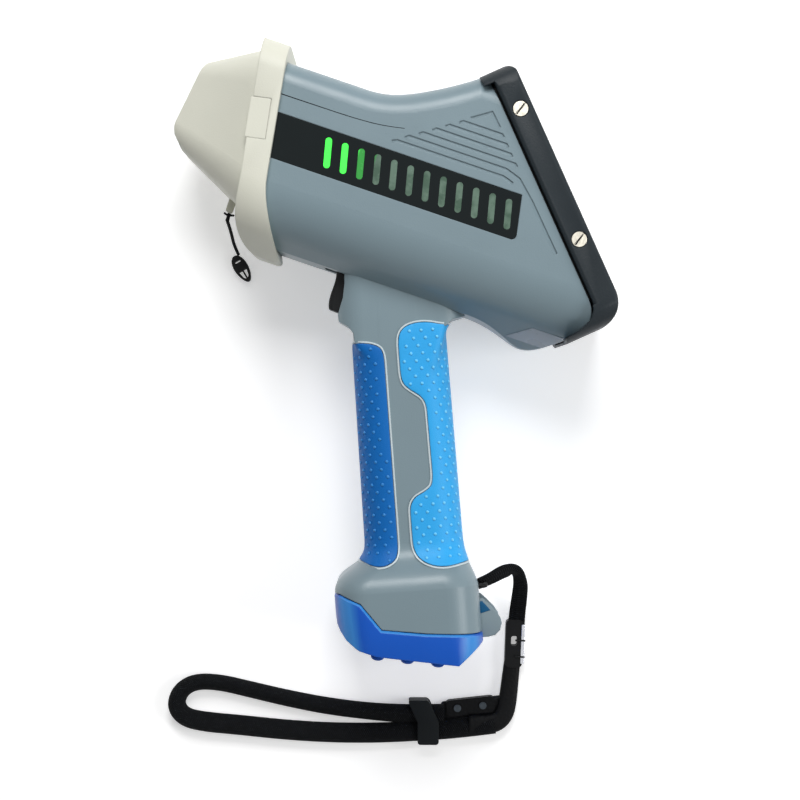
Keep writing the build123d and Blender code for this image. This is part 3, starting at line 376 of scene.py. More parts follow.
class Finish(Enum):
    """The finishes of the mouldings, metals and cloths."""

    HOUSING = Moulding("blue_grey_moulding", paint(123, 142, 150), 0.36, 1700.0, 0.00005, 0.35, 0.0007, 0.12,
                       0.2, 0.3, specular=0.35)
    NOSE = Moulding("cream_moulding", paint(219, 219, 205), 0.46, 1500.0, 0.00007, 0.4, 0.0008, 0.05,
                    specular=0.4)
    # painted highlight: a pale strip round each soft grip stands in for the highlight on the recess's edge
    LIP = Moulding("painted_highlight_lip", paint(198, 211, 215), 0.36, 1700.0, 0.00005, 0.3, 0.0003, 0.1)
    FRAME = Moulding("black_frame_moulding", paint(30, 38, 43), 0.45, 1300.0, 0.0001, 0.6, 0.0008, 0.35,
                     specular=0.25)
    STRIPE = Moulding("dark_side_window", paint(5, 17, 19), 0.12, 500.0, 0.000004, 0.3, 0.0003, 0.0, 0.12,
                      0.05, specular=0.2)
    FRONT_PAD = Moulding("deep_blue_rubber", paint(4, 104, 184), 0.5, 2300.0, 0.0001, 0.5, 0.0009, 0.25,
                         specular=0.25)
    REAR_PAD = Moulding("light_blue_rubber", paint(48, 170, 238), 0.46, 2300.0, 0.0001, 0.5, 0.0009, 0.25,
                        specular=0.3)
    # painted highlight: the dots are paler than their pads to stand in for the highlights they catch
    FRONT_DOTS = Moulding("deep_blue_dots_painted_highlight", paint(36, 132, 206), 0.4, 2300.0, 0.00005, 0.3, 0.0005)
    REAR_DOTS = Moulding("light_blue_dots_painted_highlight", paint(104, 204, 250), 0.4, 2300.0, 0.00005, 0.3, 0.0005)
    # painted highlight: the base's sloping faces are painted paler
    BASE = Moulding("blue_base_moulding", paint(1, 84, 190), 0.36, 1500.0, 0.00006, 0.5, 0.0009, 0.6, 0.1,
                    0.25, specular=0.3, slope_highlight=paint(64, 152, 226))
    FEET = Moulding("deep_blue_feet", paint(8, 78, 174), 0.6, 2500.0, 0.0001, specular=0.2)
    LATCH = Moulding("grey_latch_moulding", paint(126, 142, 149), 0.44, 1500.0, 0.00008, specular=0.3)
    TRIGGER = Moulding("black_trigger_moulding", paint(16, 18, 20), 0.4, 1300.0, 0.0001, 0.6, 0.0007, 0.4,
                       specular=0.2)
    BUCKLE = Moulding("black_buckle_moulding", paint(5, 6, 8), 0.45, 1500.0, 0.00008, 0.6, 0.0005, 0.5,
                      specular=0.18)
    KEEPER = Moulding("black_keeper_rubber", paint(12, 17, 20), 0.55, 2000.0, 0.0001, 0.6, 0.0006, 0.4,
                      specular=0.15)
    LEATHER = Moulding("black_tab_leather", paint(5, 6, 8), 0.5, 800.0, 0.0003, 0.8, 0.0006, 0.5,
                       specular=0.12)
    RUBBER = Moulding("black_gasket_rubber", paint(12, 12, 13), 0.7, 2500.0, 0.0001, specular=0.15)
    BATTERY = Moulding("dark_battery_case", paint(44, 47, 50), 0.5, 1500.0, 0.00008)
    BOARD = Moulding("green_circuit_board", paint(22, 88, 50), 0.38, 600.0, 0.00008, 0.9, 0.0002, 0.2, 0.4)
    POTTING = Moulding("black_potting", paint(28, 28, 30), 0.35, 500.0, 0.0002)
    PANEL = Moulding("dark_display_panel", paint(10, 12, 15), 0.2, 900.0, 0.00001, 0.3, 0.0002, 0.0)
    INSET = Moulding("deep_blue_inset", paint(20, 84, 124), 0.5, 2500.0, 0.0001, specular=0.2)
    # painted shade: dark bars in the frame screws' slots stand in for the shade in them
    SLOT = Moulding("painted_slot_shade", paint(46, 46, 44), 0.7, 2500.0, 0.0001, specular=0.1)
    STICKER = Moulding("blank_sticker", paint(158, 168, 178), 0.3, 900.0, 0.00003, 0.4, 0.0001, 0.1, 0.3,
                       0.15)
    NICKEL = Metal("nickel_screw", paint(236, 231, 216), 0.34)
    STEEL = Metal("plain_steel", paint(190, 192, 196), 0.32)
    ALUMINIUM = Metal("machined_aluminium", paint(214, 216, 220), 0.36, (300.0, 2400.0, 300.0))
    BRIGHT = Metal("bright_bar", paint(232, 234, 240), 0.22)
    RIVET = Metal("dark_rivet", paint(70, 76, 82), 0.45)
    LOOP_CLOTH = Cloth("woven_loop_cloth", paint(1, 1, 2), paint(62, 66, 70), 900.0, 60.0)
    WEBBING = Cloth("black_webbing", paint(2, 3, 4), paint(40, 44, 49), 160.0, 26.0, 0.0003)
    TETHER = Cloth("black_tether_cord", paint(5, 5, 7), paint(50, 52, 56), 130.0, 9.0, 0.0001)


NODE_FINISHES: dict[Finish, str] = {
    Finish.HOUSING: "housing_left housing_right",
    Finish.NOSE: "nose_cone nose_flange flange_insert_left flange_insert_right tether_lug",
    Finish.FRAME: "display_frame",
    Finish.STRIPE: "side_window_left side_window_right",
    Finish.FRONT_PAD: "front_grip_pad",
    Finish.REAR_PAD: "rear_grip_pad",
    Finish.BASE: "battery_base",
    Finish.FEET: "foot_pads",
    Finish.LATCH: "battery_latch power_button",
    Finish.TRIGGER: "trigger trigger_switch",
    Finish.BUCKLE: "strap_clip tether_clip strap_anchor",
    Finish.KEEPER: "strap_keeper",
    Finish.LEATHER: "strap_tab strap_joint",
    Finish.RUBBER: "frame_gasket",
    Finish.BATTERY: "battery_pack battery_contacts",
    Finish.BOARD: "main_board display_board",
    Finish.POTTING: "high_voltage_supply detector",
    Finish.PANEL: "display_panel",
    Finish.NICKEL: "frame_screw_1 frame_screw_2 frame_screw_3 frame_screw_4",
    Finish.STEEL: "housing_screws trigger_pin latch_pin",
    Finish.ALUMINIUM: "window_ring source_block xray_tube",
    Finish.RIVET: "tab_rivets",
}


class Finisher:
    """Keeps one material for each finish and dresses nodes and pieces in them."""

    def __init__(self, nodes: dict[str, bpy.types.Object]) -> None:
        """Keeps the frame's nodes and starts with no material made."""
        self.nodes = nodes
        self.groups = Groups()
        self.made: dict[Finish, bpy.types.Material] = {}

    def material(self, finish: Finish) -> bpy.types.Material:
        """Returns the material of a finish, made when first asked for."""
        if finish not in self.made:
            self.made[finish] = finish.value.build(self.groups)
        return self.made[finish]

    def dress(self, piece: bpy.types.Object, finish: Finish) -> None:
        """Puts a finish on every slot of a node or a piece."""
        self.cover(piece, self.material(finish))

    @staticmethod
    def cover(piece: bpy.types.Object, material: bpy.types.Material) -> None:
        """Puts a material on every slot of a node or a piece.

        Args:
            piece: The node or the piece.
            material: The material.
        """
        if not piece.material_slots:
            piece.data.materials.append(material)
        for slot in piece.material_slots:
            slot.material = material

    def dress_nodes(self) -> None:
        """Dresses the frame's nodes."""
        for finish, names in NODE_FINISHES.items():
            for name in names.split():
                self.dress(self.nodes[name], finish)
        guides = self.light_bars()
        for name in ("light_bars_left", "light_bars_right"):
            self.cover(self.nodes[name], guides)
        self.cover(self.nodes["display_glass"], self.glass())
        self.cover(self.nodes["window_film"], self.film())

    def copy_of(self, node: str) -> bpy.types.Object:
        """Copies a node and joins its loose triangles.

        Args:
            node: The node's name.

        Returns:
            The copy, with no material.
        """
        bm = bmesh.new()
        bm.from_mesh(self.nodes[node].data)
        bmesh.ops.remove_doubles(bm, verts=bm.verts, dist=0.000002)
        bmesh.ops.dissolve_limit(bm, angle_limit=math.radians(0.6), verts=bm.verts, edges=bm.edges)
        made = loose(bm, node + "_copy")
        made.data.materials.clear()
        return made

    def light_bars(self) -> bpy.types.Material:
        """Returns the light guides: two lit, one half lit and the others dark, by their place."""
        material, tree, shader = new_material("light_guides")
        along = tree.node("SeparateXYZ", None, Vector=tree.place()).outputs[0]
        lit_end, half_lit_end = (0.089, 0.0905), (0.0975, 0.099)
        lit = tree.ranged(along, *lit_end, 1.0, 0.0)
        half = tree.ranged(along, *half_lit_end, 1.0, 0.0)
        uneven = tree.ranged(tree.noise(420.0, 3.0), 0.3, 0.7, 0.7, 1.0)
        cloud = tree.ranged(tree.noise(150.0, 2.0), 0.4, 0.6)
        dark = tree.mix(cloud, paint(58, 88, 70), paint(92, 118, 102))
        dim = tree.mix(half, dark, paint(36, 150, 52))
        shown = tree.mix(lit, dim, paint(60, 246, 70))
        power = tree.math("ADD", tree.math("MULTIPLY", lit, 0.75), tree.math("MULTIPLY", half, 0.14))
        tree.feed(shader, Base_Color=shown, Roughness=tree.ranged(uneven, 0.7, 1.0, 0.3, 0.16),
                  Emission_Color=tree.mix(tree.math("MULTIPLY", power, uneven), (0.0, 0.0, 0.0), shown),
                  Emission_Strength=1.0, Coat_Weight=0.4)
        return material

    def glass(self) -> bpy.types.Material:
        """Returns the display's smoked cover glass."""
        material, tree, shader = new_material("display_cover_glass")
        smear = tree.ranged(tree.noise(60.0, 5.0), 0.45, 0.75, 0.02, 0.12)
        colour = tree.mix(tree.noise(30.0, 3.0), paint(18, 22, 26), paint(26, 31, 36))
        tree.feed(shader, Base_Color=colour, Roughness=smear, Coat_Weight=0.8, Coat_Roughness=0.03)
        return material

    def film(self) -> bpy.types.Material:
        """Returns the amber film of the measuring window."""
        material, tree, shader = new_material("amber_window_film")
        ripple = tree.noise(300.0, 3.0)
        bump = tree.node("Bump", None, Height=ripple, Distance=0.0001)
        colour = tree.mix(ripple, paint(150, 104, 40), paint(190, 140, 66))
        tree.feed(shader, Base_Color=colour, Roughness=tree.ranged(ripple, 0.3, 0.7, 0.12, 0.25),
                  Normal=bump.outputs[0], Coat_Weight=0.5)
        return material


def alone() -> None:
    """Leaves nothing selected or active, in object mode."""
    bpy.ops.object.select_all(action="DESELECT")
    bpy.context.view_layer.objects.active = None


def only(piece: bpy.types.Object) -> None:
    """Leaves one piece selected and active."""
    alone()
    piece.select_set(True)
    bpy.context.view_layer.objects.active = piece


def joined(parts: list[bpy.types.Object]) -> bpy.types.Object:
    """Joins new parts into the last of them.

    Args:
        parts: The parts, the active one last.

    Returns:
        The one object.
    """
    for part in parts:
        part.select_set(True)
    bpy.ops.object.join()
    return bpy.context.object


def finished(piece: bpy.types.Object, name: str, body: str) -> bpy.types.Object:
    """Names a piece, seats its place in its mesh and puts it on a body.

    Args:
        piece: The active new object.
        name: Its name.
        body: The body that it moves with.

    Returns:
        The same piece.
    """
    piece.name = name
    piece.data.transform(piece.matrix_world)
    piece.matrix_world = Matrix.Identity(4)
    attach(piece, body)
    log.info("%s made, on %s", name, body)
    return piece


def mesh_piece(bm: bmesh.types.BMesh, name: str, body: str) -> bpy.types.Object:
    """Returns a finished piece from a built mesh, which is freed."""
    return finished(loose(bm, name), name, body)


def centre_line(points_mm: list[tuple[float, float, float]]) -> list[Vector]:
    """Draws the smooth NURBS line that a route's control points give.

    Args:
        points_mm: The control points, in millimetres.

    Returns:
        The line's points, in metres.
    """
    curve = bpy.data.curves.new("route", "CURVE")
    curve.dimensions = "3D"
    spline = curve.splines.new("NURBS")
    spline.points.add(len(points_mm) - 1)
    for target, point in zip(spline.points, points_mm):
        target.co = (*(value / 1000 for value in point), 1.0)
    spline.order_u = 3
    spline.use_endpoint_u = True
    spline.resolution_u = 10
    holder = bpy.data.objects.new("route", curve)
    bpy.context.scene.collection.objects.link(holder)
    mesh = bpy.data.meshes.new_from_object(holder)
    line = [vertex.co.copy() for vertex in mesh.vertices]
    bpy.data.objects.remove(holder)
    bpy.data.meshes.remove(mesh)
    bpy.data.curves.remove(curve)
    return line


def run_length(line: list[Vector]) -> float:
    """Returns a line's length."""
    return sum((b - a).length for a, b in zip(line, line[1:]))


@dataclass
class Sweep:
    """A tube or band that follows a line, with a map of its length and girth.

    Attributes:
        line: The points that it follows.
        width: Its width, at its start and its end.
        thickness: Its thickness, at its start and its end.
        turns: How far its width is turned up from level, in degrees, as (share of length, angle) pairs.
        squareness: 2 for a round section, more for a flat band with rounded edges.
        sides: Corners of the section.
    """

    line: list[Vector]
    width: tuple[float, float]
    thickness: tuple[float, float]
    turns: list[tuple[float, float]] = field(default_factory=lambda: [(0.0, 0.0), (1.0, 0.0)])
    squareness: float = 2.0
    sides: int = 20

    def angle(self, share: float) -> float:
        """Eases the band's turn from one given angle to the next.

        Args:
            share: The share of its length.

        Returns:
            The turn, in radians.
        """
        for (low, first), (high, second) in zip(self.turns, self.turns[1:]):
            if share <= high:
                part = (share - low) / max(high - low, 1e-9)
                return math.radians(first + (second - first) * part * part * (3 - 2 * part))
        return math.radians(self.turns[-1][1])

    def ring(self, share: float, point: Vector, ahead: Vector) -> list[Vector]:
        """Sets out the section's corners at a point of the line.

        Args:
            share: The share of the line's length.
            point: The point.
            ahead: The line's direction there.

        Returns:
            The corners.
        """
        level = ahead.cross(UP)
        side = level.normalized() if level.length > 0.05 else Vector((0, 1, 0))
        up = side.cross(ahead).normalized()
        turn = Matrix.Rotation(self.angle(share), 3, ahead)
        side, up = turn @ side, turn @ up
        half_width = 0.5 * (self.width[0] + (self.width[1] - self.width[0]) * share)
        half_thick = 0.5 * (self.thickness[0] + (self.thickness[1] - self.thickness[0]) * share)
        corners = []
        for index in range(self.sides):
            around = 2 * math.pi * index / self.sides
            power = 2 / self.squareness
            across = math.copysign(abs(math.cos(around)) ** power, math.cos(around)) * half_width
            raised = math.copysign(abs(math.sin(around)) ** power, math.sin(around)) * half_thick
            corners.append(point + side * across + up * raised)
        return corners

    def build(self) -> bmesh.types.BMesh:
        """Returns the closed mesh."""
        bm = bmesh.new()
        layer = bm.loops.layers.uv.new("UVMap")
        whole = run_length(self.line)
        gone, rings, shares = 0.0, [], []
        for index, point in enumerate(self.line):
            before = self.line[max(index - 1, 0)]
            after = self.line[min(index + 1, len(self.line) - 1)]
            gone += (point - before).length
            ahead = (after - before).normalized()
            rings.append([bm.verts.new(corner) for corner in self.ring(gone / whole, point, ahead)])
            shares.append(gone / whole)
        for row in range(len(rings) - 1):
            for index in range(self.sides):
                following = (index + 1) % self.sides
                face = bm.faces.new((rings[row][index], rings[row][following], rings[row + 1][following],
                                     rings[row + 1][index]))
                face.smooth = True
                across = (index / self.sides, (index + 1) / self.sides)
                values = ((shares[row], across[0]), (shares[row], across[1]), (shares[row + 1], across[1]),
                          (shares[row + 1], across[0]))
                for loop, value in zip(face.loops, values):
                    loop[layer].uv = value
        for ring in (rings[0], rings[-1]):
            bm.faces.new(ring)
        bmesh.ops.recalc_face_normals(bm, faces=bm.faces)
        return bm


def surface(nodes: dict[str, bpy.types.Object], names: str) -> BVHTree:
    """Builds a search tree over the faces of some nodes.

    Args:
        nodes: The frame's nodes.
        names: The nodes' names, with spaces between.

    Returns:
        The tree.
    """
    corners, faces = [], []
    for name in names.split():
        mesh = nodes[name].data
        start = len(corners)
        corners += [vertex.co.copy() for vertex in mesh.vertices]
        faces += [[start + index for index in face.vertices] for face in mesh.polygons]
    return BVHTree.FromPolygons(corners, faces)


def rounded(corners: list[tuple[float, float]], grow: float) -> list[tuple[float, float]]:
    """Returns an outline with its corners rounded and its sides moved outwards.

    Args:
        corners: The outline's corners, in millimetres.
        grow: How far its sides move outwards, in millimetres.

    Returns:
        The smooth closed outline.
    """
    smooth = []
    for index, corner in enumerate(corners):
        here = Vector(corner)
        before, after = Vector(corners[index - 1]), Vector(corners[(index + 1) % len(corners)])
        first = here + (before - here) * min(0.5, 6.0 / (before - here).length)
        last = here + (after - here) * min(0.5, 6.0 / (after - here).length)
        for step in range(7):
            share = step / 6
            smooth.append(first * (1 - share) ** 2 + here * 2 * share * (1 - share) + last * share ** 2)
    smooth = [point for index, point in enumerate(smooth) if (point - smooth[index - 1]).length > 0.02]
    area = sum(a.x * b.y - b.x * a.y for a, b in zip(smooth, smooth[1:] + smooth[:1]))
    outward = math.copysign(grow, area)
    moved = []
    for index, point in enumerate(smooth):
        ahead = (smooth[(index + 1) % len(smooth)] - smooth[index - 1]).normalized()
        moved.append((point.x + ahead.y * outward, point.y - ahead.x * outward))
    return moved


def on_grip(along: float, across: float, z: float = 0.0) -> Vector:
    """Returns the place of a point measured in millimetres down the grip and across it."""
    return GRIP_TOP + GRIP_DOWN * (along / 1000) + GRIP_BACK * (across / 1000) + Vector((0, 0, z / 1000))


def on_frame(down: float, out: float, z: float = 0.0) -> Vector:
    """Returns the place of a point measured in millimetres down the display frame and out of it."""
    run, rise = FRAME_SLOPE
    return Vector((run * out + rise * down, rise * out - run * down, z)) / 1000


def side_view(points: tuple) -> list[Vector]:
    """Returns points of the side view, given in millimetres."""
    return [Vector((*point, 0.0)) / 1000 for point in points]


def prism(outline: list[Vector], low: float, high: float) -> bmesh.types.BMesh:
    """Builds a closed block over an outline of the side view.

    Args:
        outline: The outline's points.
        low: Its lower height, in metres.
        high: Its upper height.

    Returns:
        The block.
    """
    bm = bmesh.new()
    floor = [bm.verts.new((point.x, point.y, low)) for point in outline]
    roof = [bm.verts.new((point.x, point.y, high)) for point in outline]
    bm.faces.new(floor)
    bm.faces.new(roof)
    for index in range(len(outline)):
        following = (index + 1) % len(outline)
        bm.faces.new((floor[index], floor[following], roof[following], roof[index]))
    bmesh.ops.recalc_face_normals(bm, faces=bm.faces)
    return bm


def loose(bm: bmesh.types.BMesh, name: str) -> bpy.types.Object:
    """Returns a plain object with a built mesh, which is freed."""
    mesh = bpy.data.meshes.new(name)
    bm.to_mesh(mesh)
    bm.free()
    made = bpy.data.objects.new(name, mesh)
    bpy.context.scene.collection.objects.link(made)
    return made


def finish_modifier(piece: bpy.types.Object, kind: str, **settings: object) -> None:
    """Adds a modifier to a piece, sets it and applies it.

    Args:
        piece: The piece.
        kind: The modifier's type.
        **settings: Its settings.
    """
    only(piece)
    modifier = piece.modifiers.new(kind.lower(), kind)
    for name, value in settings.items():
        setattr(modifier, name, value)
    bpy.ops.object.modifier_apply(modifier=modifier.name)


def round_edges(piece: bpy.types.Object, width: float, angle: float = 30.0, segments: int = 3) -> None:
    """Rounds the edges where a piece's faces meet at more than an angle in degrees."""
    finish_modifier(piece, "BEVEL", width=width, segments=segments, limit_method="ANGLE",
                    angle_limit=math.radians(angle))


def split(bm: bmesh.types.BMesh, place: Vector, normal: Vector) -> None:
    """Parts a mesh's faces along a plane and keeps both sides."""
    bmesh.ops.bisect_plane(bm, geom=bm.verts[:] + bm.edges[:] + bm.faces[:], dist=0.000001, plane_co=place,
                           plane_no=normal)


def add_part(bm: bmesh.types.BMesh, part: bmesh.types.BMesh) -> None:
    """Adds one built mesh to another and frees it.

    Args:
        bm: The mesh that is added to.
        part: The mesh that is added.
    """
    mesh = bpy.data.meshes.new("part")
    part.to_mesh(mesh)
    part.free()
    bm.from_mesh(mesh)
    bpy.data.meshes.remove(mesh)


def block(place: Vector, size: tuple[float, float, float], turn: float) -> bpy.types.Object:
    """Adds a plain block.

    Args:
        place: Its middle.
        size: Its length, width and height, in metres.
        turn: Its turn as seen from above, in degrees.

    Returns:
        The block, selected and active.
    """
    alone()
    bpy.ops.mesh.primitive_cube_add(size=1.0, location=place, rotation=(0, 0, math.radians(turn)), scale=size)
    bpy.ops.object.transform_apply(location=False, rotation=False, scale=True)
    return bpy.context.object


def carve(piece: bpy.types.Object, tool: bpy.types.Object, operation: str) -> None:
    """Cuts a piece with a tool that is then removed."""
    finish_modifier(piece, "BOOLEAN", object=tool, operation=operation, solver="EXACT")
    bpy.data.objects.remove(tool)


def smooth_by_angle(piece: bpy.types.Object, degrees: float) -> None:
    """Shades a piece smooth except where its faces meet at more than an angle."""
    only(piece)
    bpy.ops.object.shade_smooth_by_angle(angle=math.radians(degrees))


@dataclass
class SoftGrips:
    """The two soft grips with rounded outlines, raised dots painted paler as a highlight, and a pale lip
    round each that is a painted highlight.

    Attributes:
        finisher: The finishes.
        proud: How far the rubber stands over the grip's skin.
        depth: How far it reaches under the skin.
        lip: How far the lip's inner and outer edge stand outside the pad's outline, in millimetres.
        lip_heights: The lip's top over the skin and its foot under it.
        pad_grow: How far the pad passes its outline, in millimetres.
        cut: How far the outlines' cuts reach to each side.
        reach: How far from the grip's middle the skin is looked for.
        core: How near the grip's middle the look for a dot's place stops.
        steps: Steps of half a degree that are looked at on each side of a pad's middle.
        rows: The first and last row down the grip and the step between rows, in millimetres.
        columns: Columns round the grip.
        dot_rows: Rows of dots that are tried.
        row_pitch: From one row of dots to the next.
        dot_pitch: From one dot to the next.
        dot_radius: A dot's radius.
        dot_height: A dot's height.
        margin: The bare rim that a dot keeps round it.
        look: How far over the skin the look for that rim starts, and how deep it goes.
        front: The front pad's outline, in millimetres down and across the grip.
        rear: The rear pad's outline.
    """

    finisher: Finisher
    proud: float = 0.0004
    depth: float = 0.0016
    lip: tuple[float, float] = (0.5, 1.3)
    lip_heights: tuple[float, float] = (0.00036, -0.0009)
    pad_grow: float = 0.15
    cut: float = 0.05
    reach: float = 0.034
    core: float = 0.008
    steps: int = 280
    rows: tuple[float, float, float] = (16.0, 144.0, 2.0)
    columns: int = 96
    dot_rows: int = 40
    row_pitch: float = 0.0037
    dot_pitch: float = 0.0058
    dot_radius: float = 0.0008
    dot_height: float = 0.00038
    margin: float = 0.0021
    look: tuple[float, float] = (0.002, 0.0032)
    front: tuple = ((26.5, -60), (27.8, -18), (29.3, -11.5), (32.5, -8.2), (132.3, -8.2), (135.8, -12),
                    (137.0, -17), (136.0, -22), (132.8, -29), (132.5, -60))
    rear: tuple = ((22.0, 60), (22.0, 22.7), (19.5, 13.5), (20.2, 5), (24.5, -0.3), (47.5, -0.3), (51.5, 3),
                   (57.0, 11.2), (97.5, 11.8), (101.5, 9.5), (106.0, -0.4), (131.0, -0.4), (136.5, 4.5),
                   (139.0, 13), (137.4, 26), (137.0, 60))

    def measure_skin(self) -> list[list[float]]:
        """Returns the grip's radius by row and column, evened out."""
        tree = surface(self.finisher.nodes, "housing_left housing_right front_grip_pad rear_grip_pad")
        first, last, step = self.rows
        radii = []
        for row in range(int((last - first) / step) + 1):
            centre = on_grip(first + row * step, 0.0)
            radii.append([])
            for column in range(self.columns):
                out = self.heading(column)
                point = tree.ray_cast(centre + out * self.reach, -out, self.reach)[0]
                radii[-1].append((point - centre).length if point else 0.02)
        for _ in range(3):
            radii = [[(radii[max(r - 1, 0)][c] + radii[min(r + 1, len(radii) - 1)][c] + radii[r][c] * 2
                       + radii[r][c - 1] + radii[r][(c + 1) % self.columns]) / 6
                      for c in range(self.columns)] for r in range(len(radii))]
        return radii

    def heading(self, column: float) -> Vector:
        """Returns the direction out of the grip for a column, from its rear round its left side."""
        angle = 2 * math.pi * column / self.columns
        return GRIP_BACK * math.cos(angle) + UP * math.sin(angle)

    def sleeve(self, radii: list[list[float]], outer: float, inner: float) -> bpy.types.Object:
        """Wraps a closed sleeve round the grip.

        Args:
            radii: The skin's radius by row and column.
            outer: The outer wall's height over the skin.
            inner: The inner wall's height over it.

        Returns:
            The sleeve.
        """
        bm = bmesh.new()
        walls = []
        for offset in (outer, inner):
            walls.append([[bm.verts.new(on_grip(self.rows[0] + r * self.rows[2], 0.0)
                                        + self.heading(c) * (radius + offset))
                           for c, radius in enumerate(row)] for r, row in enumerate(radii)])
        for wall in walls:
            for r in range(len(radii) - 1):
                for c in range(self.columns):
                    n = (c + 1) % self.columns
                    bm.faces.new((wall[r][c], wall[r][n], wall[r + 1][n], wall[r + 1][c]))
        for r in (0, -1):
            for c in range(self.columns):
                n = (c + 1) % self.columns
                bm.faces.new((walls[0][r][c], walls[0][r][n], walls[1][r][n], walls[1][r][c]))
        bmesh.ops.recalc_face_normals(bm, faces=bm.faces)
        return loose(bm, "sleeve")

    def outline_block(self, corners: tuple, grow: float) -> bpy.types.Object:
        """Returns a block through the whole grip with a pad's rounded outline."""
        outline = [on_grip(*point) for point in rounded(list(corners), grow)]
        return loose(prism(outline, -self.cut, self.cut), "outline")

    def dot(self) -> bpy.types.Mesh:
        """Returns one low dome, modelled once."""
        alone()
        bpy.ops.mesh.primitive_uv_sphere_add(segments=10, ring_count=8, radius=self.dot_radius)
        dome = bpy.context.object
        bpy.ops.object.mode_set(mode="EDIT")
        bpy.ops.mesh.select_all(action="SELECT")
        bpy.ops.mesh.bisect(plane_co=(0, 0, -self.dot_radius * 0.2), plane_no=(0, 0, 1), clear_inner=True)
        bpy.ops.mesh.select_all(action="SELECT")
        bpy.ops.transform.resize(value=(1, 1, self.dot_height / self.dot_radius))
        bpy.ops.object.mode_set(mode="OBJECT")
        bpy.ops.object.shade_smooth()
        mesh = dome.data
        bpy.data.objects.remove(dome)
        return mesh

    def on_pad(self, tree: BVHTree, point: Vector, normal: Vector) -> bool:
        """Looks round a dot for the pad's edge.

        Args:
            tree: The pad's faces.
            point: The dot's place.
            normal: The skin's normal there.

        Returns:
            Whether the dot's whole margin lies on the pad.
        """
        side = normal.cross(GRIP_DOWN).normalized()
        over, deep = self.look
        for along, across in ((1, 0), (-1, 0), (0, 1), (0, -1)):
            start = point + (GRIP_DOWN * along + side * across) * self.margin + normal * over
            if tree.ray_cast(start, -normal, deep)[0] is None:
                return False
        return True

    def row_places(self, tree: BVHTree, centre: Vector, middle: float, odd: bool) -> list:
        """Sets out one row's dots from the pad's middle, both ways round the grip.

        Args:
            tree: The pad's faces.
            centre: The row's place on the grip's middle line.
            middle: The pad's middle, as an angle round the grip.
            odd: Whether the row is shifted by half a pitch.

        Returns:
            The dots' places and normals.
        """
        found = []
        for turn in (1, -1):
            gone, last = 0.0, None
            wanted = self.dot_pitch / 2 if odd else (0.0 if turn == 1 else self.dot_pitch)
            for step in range(self.steps):
                angle = middle + turn * math.radians(step * 0.5)
                out = GRIP_BACK * math.cos(angle) + UP * math.sin(angle)
                point, normal, _, _ = tree.ray_cast(centre + out * self.reach, -out, self.reach - self.core)
                if point is None:
                    continue
                gone += 0.0 if last is None else (point - last).length
                last = point
                if gone >= wanted:
                    wanted += self.dot_pitch
                    if abs(normal.z) > 0.3 and self.on_pad(tree, point, normal):
                        found.append((point, normal))
        return found

    def add_dots(self, pad: bpy.types.Object, name: str, middle: float) -> bpy.types.Object:
        """Sets out the dots over one pad's skin.

        Args:
            pad: The pad.
            name: The piece's name.
            middle: The pad's middle, as an angle round the grip.

        Returns:
            The dots as one piece.
        """
        tree = BVHTree.FromPolygons([v.co for v in pad.data.vertices],
                                    [list(face.vertices) for face in pad.data.polygons])
        dot = self.dot()
        bm = bmesh.new()
        for number in range(self.dot_rows):
            centre = on_grip(self.rows[0] + number * self.row_pitch * 1000, 0.0)
            for point, normal in self.row_places(tree, centre, middle, bool(number % 2)):
                start = len(bm.verts)
                bm.from_mesh(dot)
                bm.verts.ensure_lookup_table()
                seat = Matrix.Translation(point) @ normal.to_track_quat("Z", "Y").to_matrix().to_4x4()
                bmesh.ops.transform(bm, matrix=seat, verts=bm.verts[start:])
        bpy.data.meshes.remove(dot)
        return mesh_piece(bm, name, "housing")

    def build(self) -> None:
        """Builds both grips."""
        radii = self.measure_skin()
        for side, corners, middle, finish, dotted in (
                ("front", self.front, math.pi, Finish.FRONT_PAD, Finish.FRONT_DOTS),
                ("rear", self.rear, 0.0, Finish.REAR_PAD, Finish.REAR_DOTS)):
            pad = self.sleeve(radii, self.proud, -self.depth)
            carve(pad, self.outline_block(corners, self.pad_grow), "INTERSECT")
            round_edges(pad, 0.0006, 50)
            smooth_by_angle(pad, 50)
            finished(pad, side + "_soft_grip", "housing")
            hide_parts(side + "_grip_pad")
            self.finisher.dress(pad, finish)
            # painted highlight: the dots' finish is paler than the pad's
            dots = self.add_dots(pad, side + "_grip_dots", middle)
            self.finisher.dress(dots, dotted)
            # painted highlight: the pale lip stands in for the highlight along the edge of the pad's recess
            lip = self.sleeve(radii, *self.lip_heights)
            carve(lip, self.outline_block(corners, self.lip[1]), "INTERSECT")
            carve(lip, self.outline_block(corners, self.lip[0]), "DIFFERENCE")
            smooth_by_angle(lip, 40)
            finished(lip, side + "_grip_highlight_lip", "housing")
            self.finisher.dress(lip, Finish.LIP)


